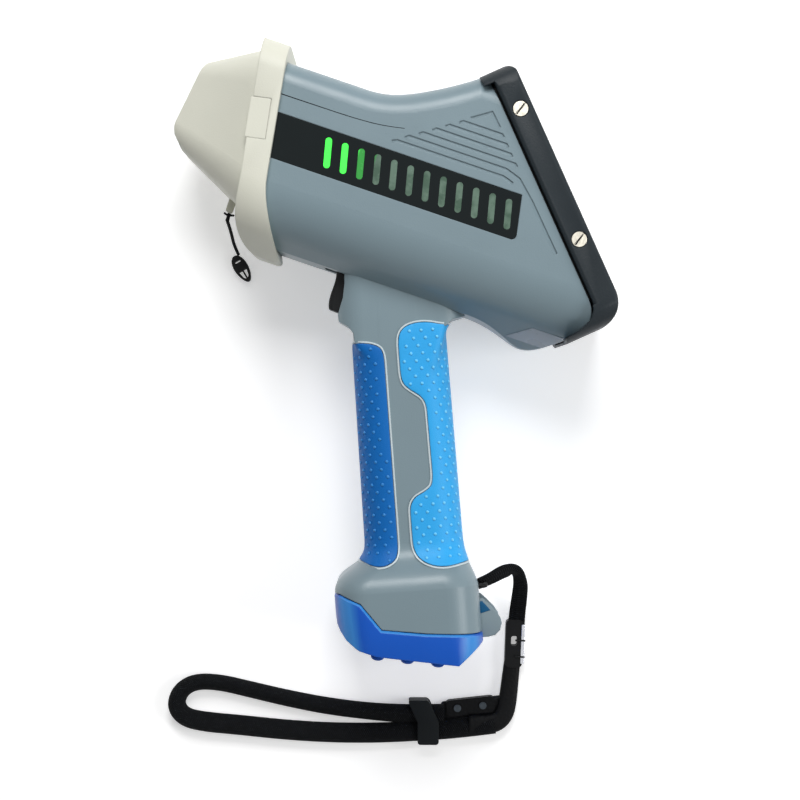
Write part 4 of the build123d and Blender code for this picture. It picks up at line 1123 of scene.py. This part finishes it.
@dataclass
class WristStrap:
    """The webbing from the grip's foot, the corner band, the keeper and the woven wrist loop.

    Attributes:
        finisher: The finishes.
        loop_route: The wrist loop's route, in millimetres.
        webbing_route: The webbing's route from the foot to its clip.
        corner_route: The route of the band round the corner.
        loop_turns: The loop's turns by share of its length, in degrees.
        webbing_turns: The webbing's turns.
        corner_band: The corner band's widths and thicknesses.
        loop_band: The loop's widths and thicknesses.
        webbing_band: The webbing's widths and thicknesses.
        keeper_shift: How far the keeper stands to the right of its place.
        keeper_pull: How far its upper edge is pulled back to the left.
    """

    finisher: Finisher
    loop_route: tuple = (
        (247.8, -252.9, -37.2), (230.6, -261.3, -37.2), (212.6, -268.8, -37.2), (192.0, -277.0, -37.2),
        (168.0, -285.0, -37.2), (143.5, -291.6, -37.2), (122.0, -296.4, -37.2), (105.0, -300.6, -37.2),
        (93.6, -302.0, -37.2), (87.0, -297.6, -37.2), (86.8, -289.4, -37.2), (92.6, -282.4, -37.2),
        (105.0, -278.6, -37.2), (122.0, -277.0, -37.2), (141.0, -275.2, -37.2), (163.2, -272.2, -37.2),
        (186.6, -267.2, -37.2), (206.8, -261.6, -37.2), (221.2, -256.4, -37.2))
    webbing_route: tuple = (
        (213.4, -183.2, -0.8), (218.0, -179.6, -3.0), (224.0, -173.6, -8.5), (230.6, -171.4, -16.0),
        (235.6, -177.0, -24.0), (238.4, -186.6, -32.0), (240.8, -196.6, -37.2), (242.0, -200.6, -37.4))
    corner_route: tuple = (
        (246.2, -219.6, -38.6), (248.6, -230.6, -38.6), (250.4, -239.0, -38.2), (251.2, -246.0, -37.8),
        (248.8, -251.8, -37.6), (242.0, -255.2, -37.4), (235.0, -257.6, -37.2))
    loop_turns: tuple = ((0.0, 4.0), (0.42, 12.0), (0.56, 62.0), (0.85, 50.0), (1.0, 20.0))
    webbing_turns: tuple = ((0.0, 38.0), (0.25, 20.0), (0.45, 46.0), (0.75, 8.0), (1.0, 0.0))
    corner_band: tuple = ((0.0086, 0.0108), (0.0044, 0.0084))
    loop_band: tuple = ((0.0104, 0.0104), (0.0078, 0.0078))
    webbing_band: tuple = ((0.0064, 0.0088), (0.0028, 0.0022))
    keeper_shift: float = 0.0012
    keeper_pull: float = 0.0052

    def keeper(self) -> bpy.types.Object:
        """Replaces the keeper by a copy whose upper half is pulled askew."""
        piece = self.finisher.copy_of("strap_keeper")
        right = Vector((math.cos(LIE), math.sin(LIE), 0.0))
        up = Vector((-right.y, right.x, 0.0))
        heights = [vertex.co.dot(up) for vertex in piece.data.vertices]
        low, top = min(heights), max(heights)
        middle = (low + top) / 2
        bm = bmesh.new()
        bm.from_mesh(piece.data)
        split(bm, up * middle, up)
        for vertex in bm.verts:
            over = max(0.0, vertex.co.dot(up) - middle) / (top - middle)
            vertex.co += right * (self.keeper_shift - self.keeper_pull * over)
        bm.to_mesh(piece.data)
        bm.free()
        round_edges(piece, 0.0005, 32)
        smooth_by_angle(piece, 40)
        finished(piece, "strap_keeper_band", "housing")
        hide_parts("strap_keeper")
        self.finisher.dress(piece, Finish.KEEPER)
        return piece

    def build(self) -> None:
        corner = mesh_piece(
            Sweep(centre_line(list(self.corner_route)), *self.corner_band, squareness=3.2).build(),
            "strap_corner_band", "housing")
        self.finisher.dress(corner, Finish.LEATHER)
        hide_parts("strap_webbing_lower", "strap_joint")
        line = centre_line(list(self.loop_route))
        loop = mesh_piece(
            Sweep(line, *self.loop_band, list(self.loop_turns), squareness=2.3, sides=28).build(),
            "wrist_loop_band", "housing")
        self.finisher.dress(loop, Finish.LOOP_CLOTH)
        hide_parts("wrist_loop")
        self.keeper()
        line = centre_line(list(self.webbing_route))
        webbing = mesh_piece(
            Sweep(line, *self.webbing_band, list(self.webbing_turns), squareness=3.5).build(),
            "strap_webbing_band", "housing")
        self.finisher.dress(webbing, Finish.WEBBING)
        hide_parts("strap_webbing_upper")


@dataclass
class NoseTether:
    """The thin cord under the nose, with its knot, its lug and its buckle.

    Attributes:
        finisher: The finishes.
        route: The cord's route, in millimetres.
        diameter: The cord's diameter.
        knot_route: The route of the knot's wrap round the lug.
        knot_ends: The route of its two short ends.
        knot_sizes: The diameters of the wrap and the ends.
        lug_share: The share of its height that the lug keeps.
        buckle: The buckle's middle, in millimetres.
        buckle_ahead: The direction of its length.
        buckle_heights: Its lower and upper face.
        buckle_half: Half its length and width, in millimetres, and the share by which one end is wider.
        buckle_windows: The windows' corners, in millimetres along and across it.
        window_cut: The heights that the windows are cut between.
    """

    finisher: Finisher
    route: tuple = ((36.4, -51.9, 5.0), (37.2, -54.0, -6.0), (38.6, -57.6, -18.0), (39.6, -60.8, -29.0),
                    (42.0, -64.0, -38.6))
    diameter: float = 0.0017
    knot_route: tuple = ((37.0, -48.6, 8.0), (36.8, -50.2, 8.0), (36.6, -51.9, 4.0))
    knot_ends: tuple = ((34.4, -49.2, 7.0), (36.0, -49.9, 8.6), (37.6, -49.6, 8.6), (39.2, -48.9, 7.0))
    knot_sizes: tuple[float, float] = (0.0019, 0.0011)
    lug_share: float = 0.72
    buckle: tuple = (46.15, -70.6, 0.0)
    buckle_ahead: tuple = (0.757, -0.653, 0.0)
    buckle_heights: tuple[float, float] = (-0.0412, -0.0372)
    buckle_half: tuple[float, float, float] = (7.6, 3.7, 0.16)
    buckle_windows: tuple = (((1.2, -2.2), (1.2, -0.4), (5.8, -0.4), (4.6, -1.5)),
                             ((1.2, 0.4), (1.2, 2.2), (4.6, 1.5), (5.8, 0.4)),
                             ((-4.6, -1.5), (-4.6, 1.5), (-3.6, 1.5), (-3.6, -1.5)))
    window_cut: tuple[float, float] = (-0.05, -0.03)

    def build(self) -> None:
        line = centre_line(list(self.route))
        cord = mesh_piece(Sweep(line, (self.diameter,) * 2, (self.diameter,) * 2, sides=12).build(),
                          "tether_cord_line", "housing")
        self.finisher.dress(cord, Finish.TETHER)
        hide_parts("tether_cord")
        self.lug()
        self.clip()
        self.knot()

    def lug(self) -> None:
        """Replaces the tether lug by a shorter, rounder one."""
        piece = self.finisher.copy_of("tether_lug")
        top = max((vertex.co.copy() for vertex in piece.data.vertices), key=lambda point: point.y)
        for vertex in piece.data.vertices:
            gone = vertex.co - top
            vertex.co = top + Vector((gone.x, gone.y * self.lug_share, gone.z))
        round_edges(piece, 0.0008, 32)
        smooth_by_angle(piece, 45)
        finished(piece, "tether_eyelet", "housing")
        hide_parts("tether_lug")
        self.finisher.dress(piece, Finish.NOSE)

    def knot(self) -> bpy.types.Object:
        """Adds the cord's knot on the lug, with its two short ends."""
        bm = bmesh.new()
        for path, size in zip((self.knot_route, self.knot_ends), self.knot_sizes):
            add_part(bm, Sweep(centre_line(list(path)), (size, size), (size, size), sides=12).build())
        piece = mesh_piece(bm, "tether_knot", "housing")
        self.finisher.dress(piece, Finish.TETHER)
        return piece

    def clip(self) -> bpy.types.Object:
        """Replaces the tether's clip by a tapered oval buckle with a bar and two windows."""
        middle, ahead = Vector(self.buckle) / 1000, Vector(self.buckle_ahead)
        across = Vector((-ahead.y, ahead.x, 0.0))

        def outline(points: tuple) -> list[Vector]:
            """Returns the points, set out along and across the buckle."""
            return [middle + ahead * (along / 1000) + across * (side / 1000) for along, side in points]

        half_length, half_width, wider = self.buckle_half
        angles = [step * math.pi / 18 for step in range(36)]
        oval = tuple((-half_length * math.cos(angle),
                      half_width * math.sin(angle) * (1 + wider * math.cos(angle))) for angle in angles)
        piece = loose(prism(outline(oval), *self.buckle_heights), "buckle")
        for window in self.buckle_windows:
            carve(piece, loose(prism(outline(window), *self.window_cut), "window"), "DIFFERENCE")
        round_edges(piece, 0.0005, 40)
        smooth_by_angle(piece, 40)
        finished(piece, "tether_buckle", "housing")
        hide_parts("tether_clip")
        self.finisher.dress(piece, Finish.BUCKLE)
        return piece


@dataclass
class SoftenedMouldings:
    """Copies of the mouldings with rounded edges and trimmed ends, and the wall under the nose.

    Attributes:
        finisher: The finishes.
        cut: How far the cuts reach to each side.
        tail: What is cut off the display frame's tail, in millimetres down the frame and out of it.
        flange_end: What is cut off the flange's foot, in millimetres.
        base_front: What is cut off the base's lower front corner.
        wall_corner: The radius of the underside wall's corners.
        wall_half: Half the wall's width.
        wall_straight: The height at which its corners start.
        wall_depth: Its thickness.
        wall_columns: Columns on each side of its middle.
        wall_front: Its front line, in millimetres.
        nose_outline: The line that the nose's lower front edge is rolled back to.
        roll: Where the nose is parted for the roll.
        roll_normal: The normal of those cuts.
        roll_reach: How far from that line the skin is still drawn to it.
    """

    finisher: Finisher
    cut: float = 0.06
    tail: tuple = ((172.0, 136.05), (178.0, 134.9), (181.6, 132.0), (183.6, 127.6), (184.8, 122.4),
                   (185.2, 116.0), (172.0, 116.0))
    flange_end: tuple = ((66.4, -60.2), (67.4, -61.8), (67.7, -63.1), (67.0, -64.2), (65.6, -64.8),
                         (65.6, -68.0), (74.0, -68.0), (74.0, -57.0))
    base_front: tuple = ((150.3, -217.6), (152.7, -222.0), (155.3, -224.6), (159.6, -227.5), (165.3, -229.5),
                         (170.5, -230.8), (174.0, -231.6), (174.0, -244.0), (148.0, -244.0), (146.0, -217.6))
    wall_corner: float = 0.020
    wall_half: float = 0.0364
    wall_straight: float = -0.0398
    wall_depth: float = 0.0022
    wall_columns: int = 12
    wall_front: tuple = ((43.4, -44.4), (44.4, -48.0), (45.8, -51.6), (48.4, -55.4), (51.4, -58.4))
    nose_outline: tuple = ((1.8, 17.5), (-1.9, -11.2), (-1.7, -17.1), (-0.2, -21.1), (6.2, -28.2),
                           (18.1, -35.4))
    roll: tuple = ((-2.6, -11.0), (-2.6, -14.0), (-2.6, -17.0), (-2.0, -20.0), (1.0, -24.0), (4.0, -27.0),
                   (7.0, -29.0))
    roll_normal: tuple = (0.55, 0.83, 0.0)
    roll_reach: float = 0.006

    def round_nose(self) -> None:
        """Replaces the nose by a copy whose lower front edge is rolled to its larger radius."""
        piece = self.finisher.copy_of("nose_cone")
        bm = bmesh.new()
        bm.from_mesh(piece.data)
        for place in side_view(self.roll):
            split(bm, place, Vector(self.roll_normal))
        limit = [Vector(point) / 1000 for point in self.nose_outline]
        for vertex in bm.verts:
            here = vertex.co.xy
            best = None
            for first, last in zip(limit, limit[1:]):
                run = last - first
                beyond = (here - first).dot(Vector((-run.y, run.x))) / run.length
                share = min(1.0, max(0.0, (here - first).dot(run) / run.length_squared))
                foot = first + run * share
                if best is None or (here - foot).length < best[0]:
                    best = ((here - foot).length, foot, beyond)
            if best[2] < 0 and best[0] < self.roll_reach:
                vertex.co.xy = best[1]
        bm.to_mesh(piece.data)
        bm.free()
        smooth_by_angle(piece, 40)
        finished(piece, "nose_shell", "housing")
        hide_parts("nose_cone")
        self.finisher.dress(piece, Finish.NOSE)

    def close_nose(self) -> None:
        """Adds the wall that closes the flange's foot under the nose."""
        bm = bmesh.new()
        sheets = []
        half_count, whole_count = self.wall_columns, 2 * self.wall_columns
        for behind in (0.0, self.wall_depth):
            rows = []
            for x, y, _ in centre_line([(*point, 0.0) for point in self.wall_front]):
                sink = max(0.0, self.wall_straight - y)
                half = self.wall_half - self.wall_corner + math.sqrt(self.wall_corner ** 2 - sink ** 2)
                rows.append([bm.verts.new((x + behind, y, half * step / half_count))
                             for step in range(-half_count, half_count + 1)])
            sheets.append(rows)
        front, back = sheets
        for rows in sheets:
            for upper, lower in zip(rows, rows[1:]):
                for step in range(whole_count):
                    bm.faces.new((upper[step], upper[step + 1], lower[step + 1], lower[step]))
        for near, far in ((front[0], back[0]), (front[-1], back[-1])):
            for step in range(whole_count):
                bm.faces.new((near[step], near[step + 1], far[step + 1], far[step]))
        for end in (0, whole_count):
            for row in range(len(front) - 1):
                bm.faces.new((front[row][end], front[row + 1][end], back[row + 1][end], back[row][end]))
        wall = mesh_piece(bm, "nose_underside_wall", "housing")
        self.finisher.dress(wall, Finish.NOSE)

    def soften(self, node: str, name: str, body: str, width: float, finish: Finish,
               end: list[Vector]) -> None:
        """Replaces a node by a copy with a trimmed end and rounded edges.

        Args:
            node: The node.
            name: The piece's name.
            body: The body it rides on.
            width: The rounding's width, in metres.
            finish: Its finish.
            end: The outline of what is cut off its end.
        """
        piece = self.finisher.copy_of(node)
        carve(piece, loose(prism(end, -self.cut, self.cut), "end_tool"), "DIFFERENCE")
        round_edges(piece, width, 32)
        smooth_by_angle(piece, 34)
        finished(piece, name, body)
        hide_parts(node)
        self.finisher.dress(piece, finish)

    def build(self) -> None:
        """Replaces the frame, the flange, the nose and the battery base."""
        self.round_nose()
        self.close_nose()
        self.soften("display_frame", "display_frame_rim", "housing", 0.0007, Finish.FRAME,
                    [on_frame(*point) for point in self.tail])
        self.soften("nose_flange", "nose_flange_rim", "housing", 0.0015, Finish.NOSE,
                    side_view(self.flange_end))
        self.soften("battery_base", "battery_base_shell", "battery", 0.0009, Finish.BASE,
                    side_view(self.base_front))


@dataclass
class SmallFittings:
    """The feet, the latch's cheeks, the painted shade in the screw slots, the clip's bar and pins, the seams
    and the sticker.

    Attributes:
        finisher: The finishes.
        cheek: The latch cheeks' outline, in millimetres down and across the grip.
        inset: The outline of the blue insets in them.
        slot_places: The frame screws, in millimetres down the display frame and out of it.
        slot_height: The height of the dark bars painted as shade in the slots, in millimetres.
        slot_turn: The slots' turn, in degrees.
        slot_size: A dark bar's size.
        feet: The feet's places along the sole, in millimetres.
        foot_side: How far they stand from the middle.
        foot_size: Half a foot's size.
        sole_slope: The sole's slope, in degrees.
        seam: The flank seam's route, in millimetres.
        seam_band: The seam's widths and thicknesses.
        seam_look: How far out the look for the flank's skin starts, and how deep it goes.
        clip_middle: The strap clip's middle.
        clip_turn: The clip's turn, in degrees.
        bar_side: How far the bright bar stands to the clip's side.
        bar_size: Its size.
        pin_places: Where the pins cross, along the clip.
        pin_side: How far they stand to its side.
        pin_rise: How far they stand over its middle.
        pin_size: A pin's radius and length.
        backing_place: The middle of the tab's leather backing.
        backing_turn: The backing's turn, in degrees.
        backing_size: Its size.
        sticker_start: The sticker's lower end on the barrel's middle line.
        sticker_length: Its length along the barrel.
        sticker_angles: Where it starts round the barrel and its step from row to row, in degrees.
        sticker_lean: How far its upper rows lean forward.
        sticker_look: How far from the barrel's middle its skin is looked for.
        sticker_lift: How far the sticker's middle stands over the skin.
        sticker_thickness: Its thickness.
    """

    finisher: Finisher
    cheek: tuple = ((157.4, 28.9), (157.0, 31.6), (160.3, 34.7), (164.2, 38.1), (167.4, 39.9), (170.1, 40.3),
                    (173.4, 39.1), (175.6, 36.4), (176.3, 33.3), (176.2, 28.9))
    inset: tuple = ((158.6, 29.2), (158.4, 31.4), (163.2, 35.2), (164.6, 29.2))
    slot_places: tuple = ((76.8, 142.0), (144.8, 142.0))
    slot_height: float = 41.6
    slot_turn: float = 76.0
    slot_size: tuple = (0.0064, 0.0008, 0.0006)
    feet: tuple = ((176.4, -230.3), (190.6, -227.2), (205.1, -224.0))
    foot_side: float = 0.024
    foot_size: tuple = (0.0033, 0.0020, 0.0033)
    sole_slope: float = 12.3
    seam: tuple = ((33.0, 11.0), (60.0, 11.1), (84.0, 11.3), (98.0, 12.4), (107.0, 14.4))
    seam_band: tuple = ((0.0005, 0.0003), (0.00016, 0.00016))
    seam_look: tuple[float, float] = (0.06, 0.04)
    clip_middle: tuple = (0.2438, -0.2100, -0.0354)
    clip_turn: float = -73.4
    bar_side: float = 0.0046
    bar_size: tuple = (0.0205, 0.0021, 0.0013)
    pin_places: tuple[float, float] = (-0.0019, 0.0066)
    pin_side: float = 0.0031
    pin_rise: float = 0.0006
    pin_size: tuple[float, float] = (0.0005, 0.0052)
    backing_place: tuple = (0.2354, -0.2502, -0.0397)
    backing_turn: float = 25.0
    backing_size: tuple = (0.0335, 0.0126, 0.0042)
    sticker_start: tuple = (0.1962, -0.0300, 0.0)
    sticker_length: float = 0.0185
    sticker_angles: tuple[float, float] = (47.0, 2.4)
    sticker_lean: float = 0.35
    sticker_look: float = 0.07
    sticker_lift: float = 0.00012
    sticker_thickness: float = 0.00018

    def plates(self, name: str, corners: tuple, low: float, high: float, finish: Finish) -> None:
        """Adds a pair of rounded plates, one on each side of the latch.

        Args:
            name: The piece's name.
            corners: The plates' outline, in millimetres down and across the grip.
            low: Their inner face's height.
            high: Their outer face's height.
            finish: The finish.
        """
        outline = [on_grip(*point) for point in corners]
        bm = bmesh.new()
        for start, end in ((low, high), (-high, -low)):
            add_part(bm, prism(outline, start, end))
        piece = loose(bm, name)
        round_edges(piece, min(0.0005, (high - low) * 0.4), 50)
        smooth_by_angle(piece, 45)
        finished(piece, name, "latch")
        self.finisher.dress(piece, finish)

    def clip_parts(self) -> None:
        """Adds the clip's bright bar and its two black pins."""
        turn = math.radians(self.clip_turn)
        ahead = Vector((math.cos(turn), math.sin(turn), 0.0))
        right = Vector((-ahead.y, ahead.x, 0.0))
        middle = Vector(self.clip_middle)
        bar = block(middle + right * self.bar_side, self.bar_size, self.clip_turn)
        round_edges(bar, 0.0004)
        finished(bar, "clip_bar", "housing")
        self.finisher.dress(bar, Finish.BRIGHT)
        radius, length = self.pin_size
        pins = []
        for along in self.pin_places:
            place = middle + ahead * along + right * self.pin_side + UP * self.pin_rise
            alone()
            bpy.ops.mesh.primitive_cylinder_add(vertices=16, radius=radius, depth=length, location=place,
                                                rotation=(0, math.pi / 2, turn + math.pi / 2))
            pins.append(bpy.context.object)
        pair = joined(pins)
        round_edges(pair, 0.00012, segments=2)
        finished(pair, "clip_pins", "housing")
        self.finisher.dress(pair, Finish.BUCKLE)

    def screw_slot_shade(self) -> None:
        """Adds a dark bar in each frame screw's slot as painted shade for the slot's depth."""
        # painted shade: a dark bar in each slot stands in for the shade at the slot's bottom
        slots = joined([block(on_frame(*place, side * self.slot_height), self.slot_size, self.slot_turn)
                        for side in (1, -1) for place in self.slot_places])
        bpy.ops.object.transform_apply(location=True, rotation=True, scale=True)
        round_edges(slots, 0.0001, segments=2)
        finished(slots, "screw_slot_painted_shade", "housing")
        self.finisher.dress(slots, Finish.SLOT)

    def strap_backing(self) -> None:
        """Adds the leather backing that joins the riveted tab to the strand beside it."""
        backing = block(Vector(self.backing_place), self.backing_size, self.backing_turn)
        round_edges(backing, 0.0016, segments=4)
        smooth_by_angle(backing, 40)
        finished(backing, "strap_tab_backing", "housing")
        self.finisher.dress(backing, Finish.LEATHER)

    def seams(self) -> None:
        """Adds the fine parting line along each flank, seated on its skin."""
        start, deep = self.seam_look
        for side, name in ((1, "left"), (-1, "right")):
            tree = surface(self.finisher.nodes, "housing_" + name)
            line = []
            for x, y, _ in centre_line([(x, y, 0.0) for x, y in self.seam]):
                hit = tree.ray_cast(Vector((x, y, side * start)), Vector((0, 0, -side)), deep)[0]
                if hit:
                    line.append(hit)
            seam = mesh_piece(Sweep(line, *self.seam_band, sides=8).build(),
                              "flank_seam_" + name, "housing")
            self.finisher.dress(seam, Finish.RUBBER)

    def sticker(self) -> None:
        """Adds the blank sticker under the barrel's rear corner, wrapped on its skin."""
        tree = surface(self.finisher.nodes, "housing_left")
        bm = bmesh.new()
        grid = []
        columns, count = 13, 11
        first, step = self.sticker_angles
        for column in range(columns):
            share = column / (columns - 1)
            centre = Vector(self.sticker_start) + Vector((self.sticker_length * share, 0.0, 0.0))
            rows = []
            for row in range(count):
                angle = math.radians(first + step * row)
                lean = -self.sticker_lean * row / count
                out = Vector((lean, -math.sin(angle), math.cos(angle))).normalized()
                hit, normal, _, _ = tree.ray_cast(centre + out * self.sticker_look, -out, self.sticker_look)
                rows.append(bm.verts.new(hit + normal * self.sticker_lift))
            grid.append(rows)
        for c in range(columns - 1):
            for r in range(count - 1):
                bm.faces.new((grid[c][r], grid[c + 1][r], grid[c + 1][r + 1], grid[c][r + 1]))
        bmesh.ops.recalc_face_normals(bm, faces=bm.faces)
        piece = loose(bm, "blank_sticker")
        finish_modifier(piece, "SOLIDIFY", thickness=self.sticker_thickness, offset=0.0)
        smooth_by_angle(piece, 40)
        finished(piece, "blank_sticker", "housing")
        self.finisher.dress(piece, Finish.STICKER)

    def sole_feet(self) -> None:
        """Replaces the soft feet by low domes along the sole."""
        made = []
        for side in (1, -1):
            for x, y in self.feet:
                alone()
                bpy.ops.mesh.primitive_uv_sphere_add(segments=20, ring_count=12, radius=1.0,
                                                     location=(x / 1000, y / 1000, side * self.foot_side),
                                                     rotation=(0, 0, math.radians(self.sole_slope)),
                                                     scale=self.foot_size)
                made.append(bpy.context.object)
        feet = joined(made)
        bpy.ops.object.transform_apply(location=True, rotation=True, scale=True)
        bpy.ops.object.shade_smooth()
        finished(feet, "sole_feet", "battery")
        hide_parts("foot_pads")
        self.finisher.dress(feet, Finish.FEET)

    def build(self) -> None:
        """Builds every fitting."""
        self.sole_feet()
        self.plates("latch_cheeks", self.cheek, 0.0105, 0.0123, Finish.LATCH)
        self.plates("latch_insets", self.inset, 0.0121, 0.0125, Finish.INSET)
        self.screw_slot_shade()
        self.strap_backing()
        self.clip_parts()
        self.seams()
        self.sticker()


@dataclass
class Studio:
    """The camera, the white table, the grey surround and the soft lamps.

    Attributes:
        camera_place: Where the camera hangs.
        camera_turn: Its turn, in degrees.
        lens: Its focal length, in millimetres.
        aim: What the lamps point at.
        table_glow: How much the table shines to the eye.
        surround: How bright the surround is to all but the eye.
        lamps: Each lamp's name, place, size and power.
    """

    camera_place: tuple = (0.1466, -0.1089, 0.833)
    camera_turn: float = 18.8
    lens: float = 75.0
    aim: tuple = (0.14, -0.12, 0.0)
    table_glow: float = 0.42
    surround: float = 0.31
    lamps: tuple = (("key_lamp", (-0.15, 0.72, 0.95), 0.6, 11.8), ("side_lamp", (1.0, 0.1, 0.7), 0.5, 4.5))

    def camera(self) -> None:
        """Adds the camera, looking straight down on the table."""
        data = bpy.data.cameras.new("view")
        data.lens = self.lens
        data.sensor_width = 36.0
        seen = bpy.data.objects.new("view", data)
        seen.location = self.camera_place
        seen.rotation_euler = (0.0, 0.0, math.radians(self.camera_turn))
        bpy.context.scene.collection.objects.link(seen)
        bpy.context.scene.camera = seen

    @staticmethod
    def shown(tree: ShaderTree) -> bpy.types.NodeSocket:
        """Marks what is seen by the eye, in a reflection or through glass.

        Args:
            tree: The tree that the nodes go into.

        Returns:
            1 for what is seen.
        """
        path = tree.node("LightPath").outputs
        seen = tree.math("MAXIMUM", path["Is Camera Ray"], path["Is Glossy Ray"])
        return tree.math("MAXIMUM", seen, path["Is Transmission Ray"])

    def floor(self) -> None:
        """Adds the white table top, which keeps a soft shadow."""
        alone()
        bpy.ops.mesh.primitive_plane_add(size=8.0, location=(*self.aim[:2], TABLE_HEIGHT))
        floor = bpy.context.object
        floor.name = "floor"
        material = bpy.data.materials.new("white_table")
        material.use_nodes = True
        tree = ShaderTree(material.node_tree)
        material.node_tree.nodes.clear()
        matt = tree.node("BsdfDiffuse", None, Color=(0.9, 0.9, 0.9))
        glow = tree.node("Emission", None, Strength=tree.math("MULTIPLY", self.shown(tree), self.table_glow))
        both = tree.node("AddShader", None, _0=matt.outputs[0], _1=glow.outputs[0])
        tree.node("OutputMaterial", None, Surface=both.outputs[0])
        floor.data.materials.append(material)

    def sky(self) -> None:
        """Sets a plain grey surround that is seen as white."""
        world = bpy.data.worlds.new("surround")
        world.use_nodes = True
        bpy.context.scene.world = world
        tree = ShaderTree(world.node_tree)
        world.node_tree.nodes.clear()
        strength = tree.ranged(self.shown(tree), 0.0, 1.0, self.surround, 1.0)
        glow = tree.node("Background", None, Strength=strength)
        tree.node("OutputWorld", None, Surface=glow.outputs[0])

    def lamp(self, name: str, place: Vector, size: float, power: float) -> None:
        """Adds a soft square lamp that points at the analyzer.

        Args:
            name: Its name.
            place: Where it hangs.
            size: Its side, in metres.
            power: Its power, in watts.
        """
        data = bpy.data.lights.new(name, "AREA")
        data.shape = "SQUARE"
        data.size = size
        data.energy = power
        lamp = bpy.data.objects.new(name, data)
        lamp.location = place
        lamp.rotation_euler = (Vector(self.aim) - place).to_track_quat("-Z", "Y").to_euler()
        bpy.context.scene.collection.objects.link(lamp)

    def build(self) -> None:
        """Builds the whole studio."""
        self.camera()
        self.floor()
        self.sky()
        for name, place, size, power in self.lamps:
            self.lamp(name, Vector(place), size, power)
        bpy.context.scene.view_settings.view_transform = "Standard"


def main() -> None:
    """Loads the frame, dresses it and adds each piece."""
    logging.basicConfig(level=logging.INFO, format="%(name)s: %(message)s")
    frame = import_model()
    alone()
    Studio().build()
    finisher = Finisher(frame["nodes"])
    WristStrap(finisher).build()
    NoseTether(finisher).build()
    finisher.dress_nodes()
    SoftGrips(finisher).build()
    SoftenedMouldings(finisher).build()
    SmallFittings(finisher).build()


if __name__ == "__main__":
    main()
